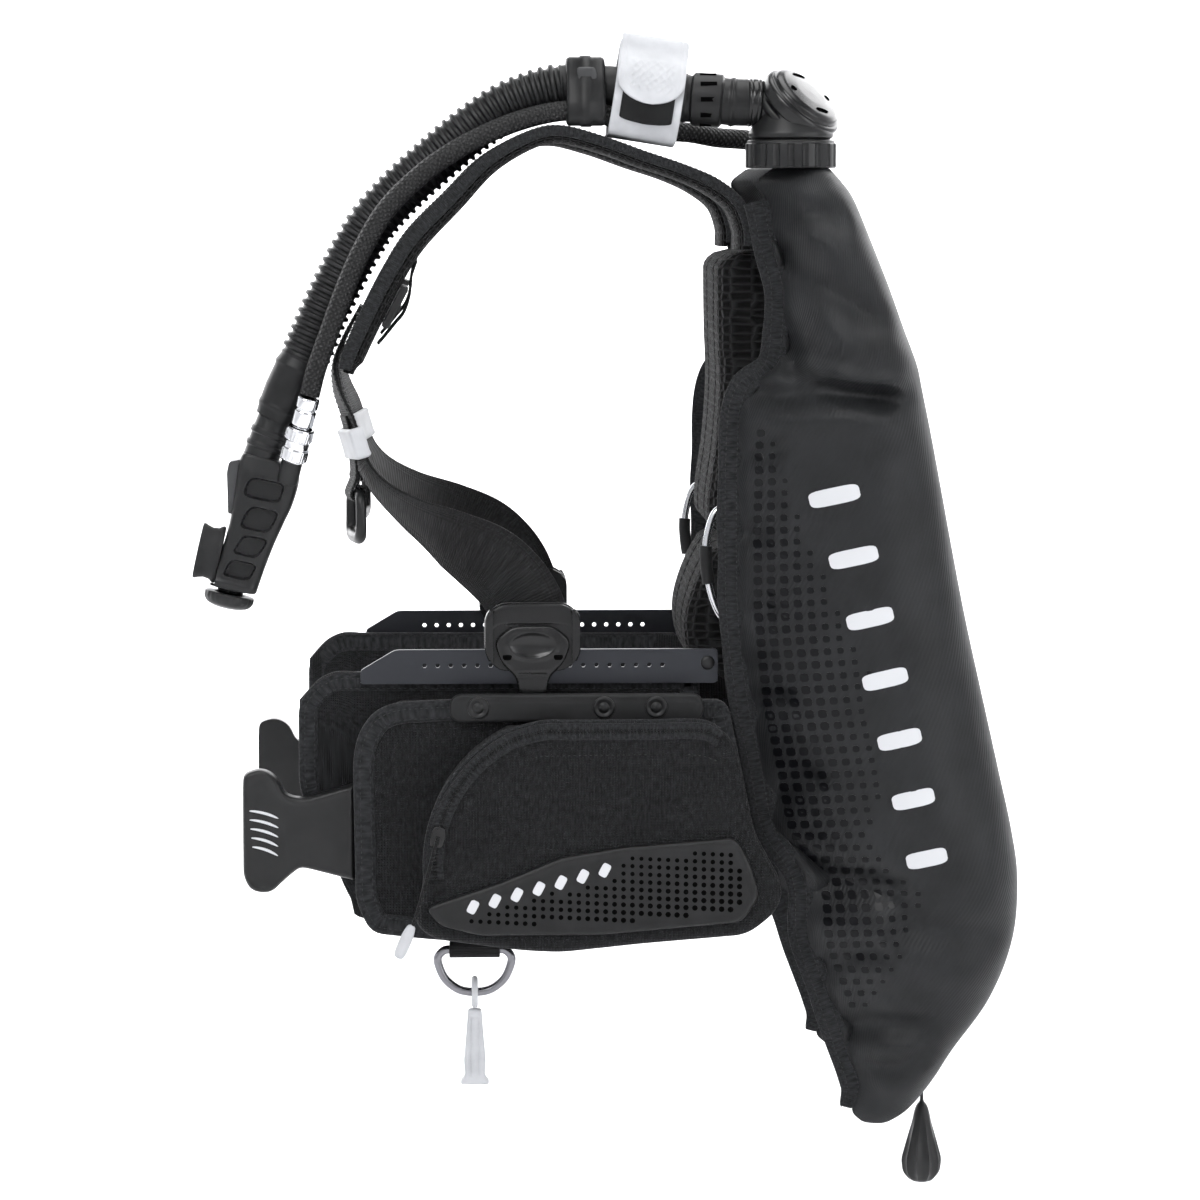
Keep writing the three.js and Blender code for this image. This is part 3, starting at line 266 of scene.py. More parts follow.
def unit(vector):
    """The same direction with a length of one."""
    vector = np.asarray(vector, float)
    return vector / np.linalg.norm(vector, axis=-1, keepdims=True)


def tangents(path, closed=False):
    """Unit direction at each point: the difference of its neighbours."""
    if closed:
        return unit(np.roll(path, -1, axis=0) - np.roll(path, 1, axis=0))
    return unit(np.gradient(path, axis=0))


def side_vectors(along, guide):
    """Two unit vectors square to a path: the first lies nearest to guide."""
    guide = np.broadcast_to(np.asarray(guide, float), along.shape)
    first = unit(guide - along * np.einsum("ij,ij->i", guide, along)[:, None])
    return first, np.cross(along, first)


def tube(path, radius, sides=24, guide=(0.0, -1.0, 0.02)):
    """Rings of a given radius square to a path; the radius may change along it."""
    first, second = side_vectors(tangents(path), guide)
    angle = full_turn(sides)
    radius = np.broadcast_to(np.asarray(radius, float), (len(path),))
    ring = np.cos(angle)[None, :, None] * first[:, None, :] + np.sin(angle)[None, :, None] * second[:, None, :]
    return path[:, None, :] + ring * radius[:, None, None]


def rounded_section(sides, power):
    """Superellipse: cosine and sine, each raised to 2/power with its sign kept."""
    return oval(full_turn(sides) + math.pi / sides, 2 / power)


def swept(path, across, half_width, half_depth, sides=32, power=5.0):
    """A superellipse carried along a path, its long side along across."""
    first, second = side_vectors(tangents(path), across)
    a, b = rounded_section(sides, power)
    half_width = np.broadcast_to(np.asarray(half_width, float), (len(path),))
    half_depth = np.broadcast_to(np.asarray(half_depth, float), (len(path),))
    return (path[:, None, :] + first[:, None, :] * (a[None, :] * half_width[:, None])[..., None]
            + second[:, None, :] * (b[None, :] * half_depth[:, None])[..., None])


def strip(rows, count, width, sides, power=8.0):
    """A strap along rows of x, y, z, turn and thickness; turn swings its width from Y towards X."""
    rows = smooth_path(np.asarray(rows, float), count)
    angle = np.radians(rows[:, 3])
    across = np.stack([np.sin(angle), -np.cos(angle), np.zeros(count)], axis=1)
    along = tangents(rows[:, :3])
    first, second = side_vectors(along, across)
    a, b = rounded_section(sides, power)
    return (rows[:, None, :3] + first[:, None, :] * (a * width / 2)[None, :, None]
            + second[:, None, :] * (b[None, :] * rows[:, 4, None] / 2)[..., None])


def turned(profile, origin, axis, sides=48, guide=(0.0, -1.0, 0.03), flute=None):
    """Radius and height pairs carried round an axis; flute changes the radius with the angle."""
    profile = np.asarray(profile, float)
    axis = unit(axis)
    first, second = side_vectors(axis[None, :], guide)
    angle = full_turn(sides)
    scale = np.ones((len(profile), sides)) if flute is None else flute(profile, angle)
    ring = np.cos(angle)[:, None] * first + np.sin(angle)[:, None] * second
    return (np.asarray(origin, float) + profile[:, 1][:, None, None] * axis
            + ring[None, :, :] * (profile[:, 0][:, None] * scale)[..., None])


def soft_profile(profile, radius=0.8, steps=4):
    """The same turned profile with every corner rounded by a quadratic curve."""
    p = np.asarray(profile, float)
    out = [p[:1]]
    t = np.linspace(0.0, 1.0, steps)[:, None]
    for before, corner, after in zip(p[:-2], p[1:-1], p[2:]):
        back, on = before - corner, after - corner
        reach = min(radius, np.linalg.norm(back) * 0.48, np.linalg.norm(on) * 0.48)
        a, b = corner + unit(back) * reach, corner + unit(on) * reach
        out.append((1 - t) ** 2 * a + 2 * t * (1 - t) * corner + t**2 * b)
    out.append(p[-1:])
    return np.vstack(out)


def outline(corners, radius=4.0, spacing=3.0):
    """A closed outline with its corners rounded, read at even steps; a third number sets one corner's radius."""
    corners = [tuple(c) for c in corners]
    xy = np.array([c[:2] for c in corners], float)
    pieces = []
    t = np.linspace(0.0, 1.0, 7)[:, None]
    for k, corner in enumerate(xy):
        before, after = xy[k - 1], xy[(k + 1) % len(xy)]
        wanted = corners[k][2] if len(corners[k]) > 2 else radius
        reach = min(wanted, np.linalg.norm(before - corner) / 2.05, np.linalg.norm(after - corner) / 2.05)
        a = corner + unit(before - corner) * reach
        b = corner + unit(after - corner) * reach
        pieces.append((1 - t) ** 2 * a + 2 * t * (1 - t) * corner + t**2 * b)
    curve = np.vstack(pieces + [pieces[0][:1]])
    s = path_length(curve)
    even = np.linspace(0.0, s[-1], max(12, int(s[-1] / spacing)), endpoint=False)
    return np.stack([np.interp(even, s, curve[:, k]) for k in range(2)], axis=1)


def edge_distance(points, ring):
    """Distance from each flat point to the nearest side of a closed outline."""
    a, b = ring, np.roll(ring, -1, axis=0)
    side = b - a
    t = np.einsum("nmk,mk->nm", points[:, None, :] - a[None], side) / (side**2).sum(axis=1)
    foot = a[None] + np.clip(t, 0.0, 1.0)[..., None] * side[None]
    return np.linalg.norm(points[:, None, :] - foot, axis=2).min(axis=1)


def inside(points, ring):
    """True where a flat point lies inside a closed outline, by counting crossings to its right."""
    x, z = points[:, 0][:, None], points[:, 1][:, None]
    a, b = ring, np.roll(ring, -1, axis=0)
    crosses = (a[:, 1] > z) != (b[:, 1] > z)
    rise = np.where(b[:, 1] == a[:, 1], 1e-9, b[:, 1] - a[:, 1])
    return (crosses & (x < a[:, 0] + (z - a[:, 1]) / rise * (b[:, 0] - a[:, 0]))).sum(axis=1) % 2 == 1


def slab(name, ring, back, front, material, body="vest", replaces=(), edge=2.0, spacing=3.0,
         relief=None, both=False, place=None, crease=50):
    """A flat-backed piece over an outline in X and Z, from y = back to y = front on the left side.

    Points lie on a staggered grid inside the outline and are joined by Delaunay triangles. The front falls
    away in a quarter circle over the last edge millimetres; relief adds to it from x, z and the distance
    to the outline.
    """
    low, high = ring.min(axis=0), ring.max(axis=0)
    xs = np.arange(low[0] + spacing / 2, high[0], spacing)
    zs = np.arange(low[1] + spacing / 2, high[1], spacing * 0.87)
    gx, gz = np.meshgrid(xs, zs)
    gx = gx + np.where(np.arange(len(zs)) % 2 == 0, 0.0, spacing / 2)[:, None]
    inner = np.stack([gx.ravel(), gz.ravel()], axis=1)
    inner = inner[inside(inner, ring)]
    inner = inner[edge_distance(inner, ring) > 0.45 * spacing]
    near = []
    direction = tangents(ring, True)
    normal = np.stack([-direction[:, 1], direction[:, 0]], axis=1)
    for step in (0.15, 0.5) if edge > 0.6 * spacing else (0.5,):
        moved = ring + normal * edge * step
        if not inside(moved, ring).mean() > 0.5:
            moved = ring - normal * edge * step
        keep = inside(moved, ring) & (edge_distance(moved, ring) > edge * step * 0.8)
        near.append(moved[keep])
    inner = np.vstack([inner] + near)
    flat = np.vstack([ring, inner])
    count = len(ring)
    loop = [(k, (k + 1) % count) for k in range(count)]
    corners, _, triangles, *_ = delaunay_2d_cdt([tuple(p) for p in flat], loop, [list(range(count))], 1, 1e-7)
    corners = np.array([tuple(c) for c in corners])
    triangles = np.array([tuple(t) for t in triangles])
    middle = corners[triangles].mean(axis=1)
    triangles = triangles[inside(middle, ring)]
    distance = edge_distance(corners, ring)
    share = np.clip(distance / max(edge, 1e-6), 0.0, 1.0)
    depth = abs(front - back)
    height = depth - edge + edge * np.sqrt(np.clip(1.0 - (1.0 - share) ** 2, 0.0, 1.0))
    if relief is not None:
        height = height + relief(corners[:, 0], corners[:, 1], distance)
    front_side = -1.0 if front < back else 1.0
    face_points = np.stack([corners[:, 0], back + front_side * height, corners[:, 1]], axis=1)
    back_points = upright(corners, float(back))
    points = np.vstack([face_points, back_points])
    n = len(corners)
    lookup = {tuple(np.round(corners[k], 3)): k for k in np.flatnonzero(distance < 1e-4).tolist()}
    rim = [lookup[tuple(np.round(p, 3))] for p in ring if tuple(np.round(p, 3)) in lookup]
    faces = triangles.tolist() + (triangles[:, ::-1] + n).tolist()
    sides = [(rim[k], rim[k - 1], rim[k - 1] + n, rim[k] + n) for k in range(len(rim))]
    a, b, c = face_points[triangles[0]]
    outward = np.cross(b - a, c - a)[1] * front_side
    if outward < 0:
        faces = [face[::-1] for face in faces]
    area = 0.5 * np.sum(ring[:, 0] * np.roll(ring[:, 1], -1) - np.roll(ring[:, 0], -1) * ring[:, 1])
    if (area > 0) != (front_side < 0):
        sides = [face[::-1] for face in sides]
    faces += sides
    uv = np.concatenate([points[list(face)][:, [0, 2]] for face in faces])
    made = []
    for side in ("left", "right") if both else ("left",):
        shown = points.copy()
        these, maps = faces, uv
        if side == "right":
            shown[:, 1] *= -1.0
            these = [face[::-1] for face in faces]
            maps = np.concatenate([shown[list(face)][:, [0, 2]] for face in these])
        if place is not None:
            shown = place(shown)
        label = f"{name}_{side}" if both else name
        piece = new_mesh(label, shown, these, material, maps, crease)
        made.append(finish_piece(piece, body.format(side), [node.format(side) for node in replaces]))
    return made if both else made[0]


def bound_edge(name, ring, outer, inner, width, material, body, over):
    """Tape folded over a closed edge on both sides: a rounded box carried along the outline, from over
    millimetres outside it to width inside it."""
    direction = tangents(ring, True)
    normal = np.stack([direction[:, 1], -direction[:, 0]], axis=1)
    if inside(ring + normal * 0.5, ring).mean() > 0.5:
        normal = -normal
    a, b = rounded_section(20, 5.0)
    reach = (over - width) / 2 + a * (over + width) / 2
    depth = (outer + inner) / 2 + b * abs(outer - inner) / 2
    flat = ring[:, None, :] + normal[:, None, :] * reach[None, :, None]
    grid = np.stack([flat[..., 0], np.broadcast_to(depth, flat.shape[:2]), flat[..., 1]], axis=-1)
    for side, sign in SIDES:
        closed_piece(f"{name}_{side}", grid * [1, sign, 1], material, body.format(side), (), None, 1.5)


def edge_stitches(name, ring, insets, y, more=()):
    """Rows of thread inside an outline on both sides, with any further lines, given as X and Z points and their Y."""
    rows = [(inset_line(ring, inset), y) for inset in insets] + list(more)
    for side, sign in SIDES:
        stitches(f"{name}_{side}", [(upright(line, level * sign), (0, -sign, 0)) for line, level in rows], thread)


def stitches(name, lines, material, body="vest", pitch=3.6, length=2.4, thick=0.55):
    """Short threads laid end to end along lines: each is a stretched octahedron, raised a little."""
    all_points, all_faces = [], []
    for line, out in lines:
        line = np.asarray(line, float)
        s = path_length(line)
        at = np.arange(pitch / 2, s[-1], pitch)
        centre = np.stack([np.interp(at, s, line[:, k]) for k in range(3)], axis=1)
        ahead = np.stack([np.interp(at + 0.6, s, line[:, k]) for k in range(3)], axis=1)
        along = ahead - centre
        keep = np.linalg.norm(along, axis=1) > 1e-6
        centre, along = centre[keep], unit(along[keep])
        out_vec = np.broadcast_to(np.asarray(out, float), centre.shape)
        up, across = side_vectors(along, out_vec)
        corners = np.stack([centre - along * length / 2, centre + along * length / 2, centre + up * thick / 2,
                            centre + across * thick / 2, centre - up * thick / 2, centre - across * thick / 2], axis=1)
        base = sum(len(p) for p in all_points) + np.arange(len(centre)) * 6
        pattern = np.array([[0, 3, 2], [0, 4, 3], [0, 5, 4], [0, 2, 5], [1, 2, 3], [1, 3, 4], [1, 4, 5], [1, 5, 2]])
        all_points.append(corners.reshape(-1, 3))
        all_faces.append((base[:, None, None] + pattern[None]).reshape(-1, 3))
    points = np.vstack(all_points)
    faces = facing_out(points - points.mean(axis=0), np.vstack(all_faces).tolist())
    return finish_piece(new_mesh(name, points, faces, material), body)


def joined(name, grids, material, body="vest", replaces=(), crease=40):
    """Several closed skins in one mesh."""
    points, faces, uvs, base = [], [], [], 0
    for grid in grids:
        p, f, uv = skin(grid)
        points.append(p)
        faces += [[k + base for k in face] for face in f]
        uvs.append(uv)
        base += len(p)
    piece = new_mesh(name, np.vstack(points), faces, material, np.vstack(uvs), crease)
    return finish_piece(piece, body, replaces)


# ------------------------------------------------------------------ materials


class Finish:
    """One Principled material, with helpers for its bump and its colour changes."""

    def __init__(self, name, color, roughness, metallic=0.0, coat=0.0, sheen=0.0, specular=0.5):
        self.material = bpy.data.materials.new(name)
        self.material.use_nodes = True
        self.nodes = self.material.node_tree.nodes
        self.links = self.material.node_tree.links
        self.shader = self.nodes["Principled BSDF"]
        self.shader.inputs["Base Color"].default_value = (*color, 1.0)
        self.shader.inputs["Roughness"].default_value = roughness
        self.shader.inputs["Metallic"].default_value = metallic
        self.shader.inputs["Specular IOR Level"].default_value = specular
        self.shader.inputs["Coat Weight"].default_value = coat
        self.shader.inputs["Coat Roughness"].default_value = 0.08
        self.shader.inputs["Sheen Weight"].default_value = sheen
        self.shader.inputs["Sheen Roughness"].default_value = 0.4
        self.height = None

    def node(self, kind, **settings):
        made = self.nodes.new(kind)
        for key, value in settings.items():
            if hasattr(made, key):
                setattr(made, key, value)
            else:
                made.inputs[key.replace("_", " ")].default_value = value
        return made

    def coordinates(self, cloth=False, turn=0.0, stretch=(1.0, 1.0, 1.0)):
        source = self.node("ShaderNodeTexCoord")
        mapping = self.node("ShaderNodeMapping")
        mapping.inputs["Rotation"].default_value = (0.0, 0.0, turn) if cloth else (0.0, turn, 0.0)
        mapping.inputs["Scale"].default_value = stretch
        self.links.new(source.outputs["UV" if cloth else "Object"], mapping.inputs["Vector"])
        return mapping.outputs["Vector"]

    def math(self, operation, a, b=None):
        made = self.node("ShaderNodeMath", operation=operation)
        for slot_index, value in enumerate((a, b)):
            if value is None:
                continue
            if isinstance(value, (int, float)):
                made.inputs[slot_index].default_value = value
            else:
                self.links.new(value, made.inputs[slot_index])
        return made.outputs[0]

    def add_height(self, value, weight):
        scaled = self.math("MULTIPLY", value, weight)
        self.height = scaled if self.height is None else self.math("ADD", self.height, scaled)

    def noise(self, size, detail=3.0, cloth=False, stretch=(1.0, 1.0, 1.0)):
        """Cloudy noise whose lumps are about size millimetres across."""
        texture = self.node("ShaderNodeTexNoise", Scale=1.0 / (size * MM), Detail=detail)
        self.links.new(self.coordinates(cloth, stretch=stretch), texture.inputs["Vector"])
        return texture.outputs["Fac"]

    def waves(self, period, direction, cloth=False, turn=0.0, wobble=0.0):
        """Parallel ridges, period millimetres apart."""
        texture = self.node("ShaderNodeTexWave", bands_direction=direction, wave_profile="SIN",
                            Scale=2 * math.pi / (20.0 * period * MM), Distortion=wobble)
        texture.inputs["Detail Scale"].default_value = 2.0
        self.links.new(self.coordinates(cloth, turn), texture.inputs["Vector"])
        return texture.outputs["Fac"]

    def weave(self, period, weight, cloth=True, turn=0.0):
        """Warp over weft: two crossed sets of ridges, multiplied."""
        across = self.waves(period, "X", cloth, turn, 0.6)
        along = self.waves(period, "Y" if cloth else "Z", cloth, turn, 0.6)
        self.add_height(self.math("MULTIPLY", across, along), weight)

    def cells(self, size):
        """Distance to the edge of fairly regular cells about size millimetres across, laid in the cloth."""
        texture = self.node("ShaderNodeTexVoronoi", feature="DISTANCE_TO_EDGE", Scale=1.0 / (size * MM))
        texture.inputs["Randomness"].default_value = 0.35
        self.links.new(self.coordinates(True), texture.inputs["Vector"])
        return texture.outputs["Distance"]

    def vary(self, value, dark, light, low=0.35, high=0.65):
        """Colour from dark to light as value goes from low to high."""
        shades = self.node("ShaderNodeValToRGB")
        first, last = shades.color_ramp.elements
        first.position, last.position = low, high
        first.color, last.color = (*dark, 1.0), (*light, 1.0)
        self.links.new(value, shades.inputs["Fac"])
        self.links.new(shades.outputs["Color"], self.shader.inputs["Base Color"])

    def vary_roughness(self, value, low, high):
        span = self.node("ShaderNodeMapRange")
        span.inputs["To Min"].default_value, span.inputs["To Max"].default_value = low, high
        self.links.new(value, span.inputs["Value"])
        self.links.new(span.outputs["Result"], self.shader.inputs["Roughness"])

    def done(self, depth=0.0003, strength=1.0):
        if self.height is not None:
            bump = self.node("ShaderNodeBump", Strength=strength, Distance=depth)
            self.links.new(self.height, bump.inputs["Height"])
            self.links.new(bump.outputs["Normal"], self.shader.inputs["Normal"])
        return self.material


def grey(level, blue=1.06):
    """A grey with a little more blue than red in it."""
    return (level, level * (1 + (blue - 1) * 0.4), level * blue)


def make_twill():
    f = Finish("coated_twill", grey(0.011, 1.15), 0.46, sheen=0.02, specular=0.26)
    f.add_height(f.waves(1.5, "DIAGONAL", True, math.radians(20), 1.0), 0.6)
    f.add_height(f.noise(9.0, 4.0), 0.5)
    cloud = f.noise(38.0, 4.0)
    f.vary(cloud, grey(0.0085, 1.15), grey(0.0135, 1.15))
    f.vary_roughness(f.noise(14.0, 5.0), 0.42, 0.6)
    return f.done(0.00022, 0.9)


def make_cordura():
    f = Finish("coarse_nylon", grey(0.009, 1.1), 0.8, sheen=0.05, specular=0.16)
    f.weave(1.9, 1.0)
    f.add_height(f.noise(3.0, 2.0, True), 0.35)
    flecks = f.noise(1.6, 2.0, True, (1.0, 0.3, 1.0))
    f.vary(flecks, grey(0.005, 1.12), grey(0.017, 1.12), 0.3, 0.75)
    return f.done(0.0005, 1.0)


def make_binding():
    f = Finish("binding_tape", grey(0.02, 1.08), 0.95, sheen=0.12, specular=0.12)
    f.add_height(f.waves(1.3, "Y", True, 0.0, 1.5), 0.5)
    f.add_height(f.noise(1.2, 3.0, True), 0.8)
    f.vary(f.noise(1.8, 3.0, True), grey(0.011, 1.1), grey(0.032, 1.1), 0.3, 0.7)
    return f.done(0.0005, 1.0)


def make_mesh_padding():
    f = Finish("spacer_mesh", grey(0.01, 1.06), 0.9, sheen=0.05, specular=0.16)
    holes = f.cells(5.6)
    open_area = f.math("MINIMUM", f.math("MULTIPLY", holes, 3.4), 1.0)
    f.add_height(f.math("SUBTRACT", 1.0, open_area), 2.2)
    f.add_height(f.noise(0.9, 2.0, True), 0.3)
    # The open cells are coloured darker than the strands round them: painted shade in the holes of the mesh.
    f.vary(open_area, grey(0.02, 1.06), grey(0.0035, 1.06), 0.15, 0.7)
    return f.done(0.0011, 1.0)


def make_webbing():
    f = Finish("webbing", grey(0.009, 1.06), 0.72, sheen=0.05, specular=0.2)
    f.add_height(f.waves(1.6, "Y", True, 0.0, 0.4), 1.0)
    f.add_height(f.waves(2.4, "X", True, 0.0, 0.3), 0.5)
    f.vary(f.noise(2.2, 2.0, True), grey(0.006, 1.06), grey(0.014, 1.06))
    return f.done(0.0004, 1.0)


def make_braid():
    """Two sets of crossing strands in V stripes; the raised ones are painted lighter grey, a painted highlight."""
    f = Finish("braided_hose", grey(0.02), 0.5, specular=0.3)
    one = f.waves(2.1, "DIAGONAL", True, 0.0, 0.3)
    two = f.waves(2.1, "DIAGONAL", True, math.pi / 2, 0.3)
    crossed = f.math("MULTIPLY", one, two)
    f.add_height(crossed, 1.4)
    # Painted highlight and painted shade: raised strands coloured lighter grey, the gaps between them darker.
    f.vary(crossed, grey(0.006), grey(0.035, 1.0), 0.3, 0.9)
    return f.done(0.0007, 1.0)


def make_rubber(name, level, roughness):
    f = Finish(name, grey(level), roughness, specular=0.28)
    f.add_height(f.noise(0.7, 2.0), 0.6)
    f.vary(f.noise(17.6, 4.0), grey(level * 0.8), grey(level * 1.25))
    f.vary_roughness(f.noise(11.0, 3.0), roughness - 0.06, roughness + 0.08)
    return f.done(0.00012, 0.7)


def make_light_rubber():
    f = Finish("light_grey_rubber", (0.5, 0.51, 0.53), 0.5, specular=0.3)
    f.add_height(f.noise(0.8, 2.0), 0.5)
    f.vary(f.noise(16.0, 4.0), (0.46, 0.47, 0.49), (0.54, 0.55, 0.57))
    return f.done(0.0001, 0.6)


def make_plastic(name, level, roughness, coat=0.0):
    f = Finish(name, grey(level), roughness, coat=coat, specular=0.36)
    f.add_height(f.noise(0.6, 2.0), 0.5)
    f.vary(f.noise(20.0, 3.0), grey(level * 0.85), grey(level * 1.2))
    f.vary_roughness(f.noise(9.0, 4.0), roughness - 0.05, roughness + 0.07)
    return f.done(0.00007, 0.6)


def make_metal(name, color, roughness, brushed=0.0):
    f = Finish(name, color, roughness, metallic=1.0)
    f.vary_roughness(f.noise(4.0, 4.0, stretch=(1.0, 1.0, 6.0)), max(0.03, roughness - 0.06), roughness + 0.08)
    f.add_height(f.noise(1.0, 2.0, stretch=(0.3, 1.0, 1.0)), 0.3 + brushed)
    return f.done(0.00004, 0.5)


def make_plain(name, color, roughness, specular=0.3):
    f = Finish(name, color, roughness, specular=specular)
    f.vary_roughness(f.noise(6.0), roughness - 0.04, roughness + 0.06)
    return f.done()


backdrop_paper = make_plain("backdrop_paper", (0.93, 0.93, 0.94), 0.9)
twill = make_twill()
cordura = make_cordura()
binding = make_binding()
spacer_mesh = make_mesh_padding()
webbing = make_webbing()
braid = make_braid()
satin = make_plastic("satin_black_plastic", 0.009, 0.36)
gloss = make_plastic("gloss_black_plastic", 0.006, 0.24, 0.08)
mid_grey = make_plastic("grey_plastic", 0.05, 0.4)
rubber = make_rubber("black_rubber", 0.009, 0.42)
matt_rubber = make_rubber("matt_black_rubber", 0.012, 0.6)
light_rubber = make_light_rubber()
chrome = make_metal("polished_chrome", (0.82, 0.83, 0.85), 0.08)
dark_metal = make_metal("dark_stainless", (0.22, 0.22, 0.235), 0.24, 0.5)
bright_rod = make_metal("bright_stainless", (0.6, 0.61, 0.63), 0.2, 0.3)
alloy = make_metal("dark_anodised_alloy", (0.05, 0.052, 0.058), 0.38, 0.6)
print_gloss = make_plain("gloss_print", (0.003, 0.003, 0.004), 0.3, specular=0.16)
print_silver = make_plain("silver_print", (0.6, 0.61, 0.63), 0.4)
thread = make_plain("grey_thread", grey(0.03), 0.8)
black_thread = make_plain("black_thread", grey(0.018), 0.8)
# Flat near-black with no shine, laid in holes, slots and ports that are not cut: painted shade for the dark inside of
# the openings.
painted_shade_black = make_plain("painted_recess_shade", (0.002, 0.002, 0.002), 0.9, specular=0.0)
hook_tape = make_rubber("hook_tape", 0.009, 0.9)

# ------------------------------------------------------------------ air cell

# Stations down a lobe: height, front of its seam, back, middle in Y and half thickness.
LOBE = np.array([
    [216, -26, 26, -120, 23], [207, -36, 34, -121, 29], [195, -32.7, 42, -123, 34], [165, -26, 54, -128, 40],
    [136, -19.3, 65, -133, 44], [110, -20, 74, -138, 47], [86.5, -24.4, 82.5, -141, 48], [70, -44.3, 86, -143, 49],
    [30, -50, 94, -145, 50], [-70, -50, 113, -147, 50], [-137, -43, 128, -147, 50], [-185, -33, 139, -146, 49],
    [-225, -24.7, 148, -145, 48], [-258.6, -4.4, 152.6, -144, 46], [-299.4, -0.9, 150, -142, 42],
    [-340, 13, 135, -140, 36], [-375, 25, 111, -138, 30], [-402, 34, 94, -136, 21], [-419, 30, 80, -135, 12],
    [-428, 38, 66, -135, 4]], float)
TAPE_TUCK = 13.0    # how far behind the front of its seam tape a lobe begins

# Creases pressed into the cloth: start and end in X and Z, width and depth.
CREASES = [
    (-28, 70, 66, 66, 9, 5.5), (-22, 132, 4, 80, 8, 4.5), (-26, 168, 62, 112, 11, 4.0), (-6, 88, 70, 74, 6, -3.0),
    (-38, 20, -8, 34, 7, 2.6), (-44, -30, -14, -20, 8, 2.4), (-44, -86, -12, -72, 8, 2.4),
    (-34, -150, -4, -132, 8, 2.6), (-22, -206, 16, -186, 9, 3.0), (-4, -246, 74, -268, 11, 5.5),
    (6, -272, 138, -294, 13, 3.6), (16, -318, 60, -300, 9, 3.2), (30, -364, 92, -352, 10, 4.2),
    (52, -388, 96, -372, 8, 3.0), (40, 150, 52, 60, 12, 2.2), (74, 30, 84, -80, 15, 1.8),
    (96, -120, 118, -230, 14, 1.9), (-10, 196, 34, 176, 9, 2.6), (4, 206, 8, 150, 10, -2.2)]


def lobe_sizes(z):
    """Front, back, middle and half thickness at any height, on a spline through the stations."""
    rows = smooth_path(LOBE, 400)[::-1]
    return [np.interp(z, rows[:, 0], rows[:, k]) for k in range(1, 5)]


def crease_depth(x, z, front):
    """How far the cloth is drawn in: a furrow with a ridge on its lower side for each crease,
    puckers that die away from the seam, and a broad slow wave."""
    depth = np.zeros_like(x)
    for x0, z0, x1, z1, width, deep in CREASES:
        dx, dz = x1 - x0, z1 - z0
        length = math.hypot(dx, dz)
        along = ((x - x0) * dx + (z - z0) * dz) / length**2
        across = ((x - x0) * dz - (z - z0) * dx) / length
        ends = np.exp(-np.clip(np.abs(along - 0.5) - 0.36, 0.0, None) ** 2 / 0.03)
        wander = across + 2.2 * np.sin(along * 7.0 + x0)
        furrow = np.exp(-((wander / width) ** 2)) - 0.55 * np.exp(-(((wander - 1.9 * width) / (1.3 * width)) ** 2))
        depth += 2.1 * deep * ends * furrow
    from_seam = np.clip(x - front, 0.0, None)
    pucker = np.exp(-from_seam / 21.0) * (np.sin(z / 6.1 + 1.3 * np.sin(z / 23.0)) + 0.6 * np.sin(z / 3.7 + 2.0))
    slow = np.sin(x / 31.0 + z / 57.0) + 0.7 * np.sin(x / 47.0 - z / 36.0 + 1.0)
    return depth + 1.5 * pucker + 1.5 * slow


def lobe_points(angle, z, proud=0.0):
    """A teardrop with its point forward: X from the cosine, Y from sine times cosine of half the angle."""
    front, back, middle, half = lobe_sizes(z)
    tip = front + TAPE_TUCK
    centre, reach = (tip + back) / 2, (back - tip) / 2
    swell = np.sin(angle) * np.cos(angle / 2) / 0.77
    full = ramp(z + 428.0, 26.0) * ramp(218.0 - z, 20.0)
    x = centre + reach * np.cos(angle)
    drawn = crease_depth(x, z, front) * full * np.clip(np.abs(np.sin(angle)) * 2.2, 0.0, 1.0)
    wide = np.where(angle < 0, 1.0, -1.0) * (drawn - proud)
    y = middle + half * swell + wide
    x = x + proud * 0.3 * np.cos(angle)
    return np.stack([x, y, z], axis=-1)


def on_lobe(x, z, proud):
    """The point of the lobe's outer face over a place in X and Z, stood proud of the cloth."""
    front, back, _, _ = lobe_sizes(z)
    tip = front + TAPE_TUCK
    centre, reach = (tip + back) / 2, (back - tip) / 2
    angle = -np.arccos(np.clip((x - centre) / reach, -1.0, 1.0))
    return lobe_points(angle, z, proud)


def patch_on_lobe(name, shapes, material, proud, shares=(1.0,)):
    """Closed shapes, [x, z] corner arrays of one size, laid on the lobe in rings that shrink by shares."""
    middle = shapes.mean(axis=1, keepdims=True)
    flat = middle[:, None] + (shapes - middle)[:, None] * np.array(shares)[None, :, None, None]
    top = on_lobe(flat[..., 0], flat[..., 1], proud)
    under = on_lobe(shapes[..., 0], shapes[..., 1], -0.4)[:, None]
    stacked_rings(name, np.concatenate([under, top], axis=1), material, "vest", 25)


def rounded_square(x, z, size, turn):
    """Eight corners of squares with cut corners about the points x, z."""
    u = np.array([1, 0.55, -0.55, -1, -1, -0.55, 0.55, 1]) * 0.5
    v = np.array([0.55, 1, 1, 0.55, -0.55, -1, -1, -0.55]) * 0.5
    c, s = np.cos(turn), np.sin(turn)
    px = x[:, None] + size[:, None] * (u * c - v * s)
    pz = z[:, None] + size[:, None] * (u * s + v * c)
    return np.stack([px, pz], axis=-1)


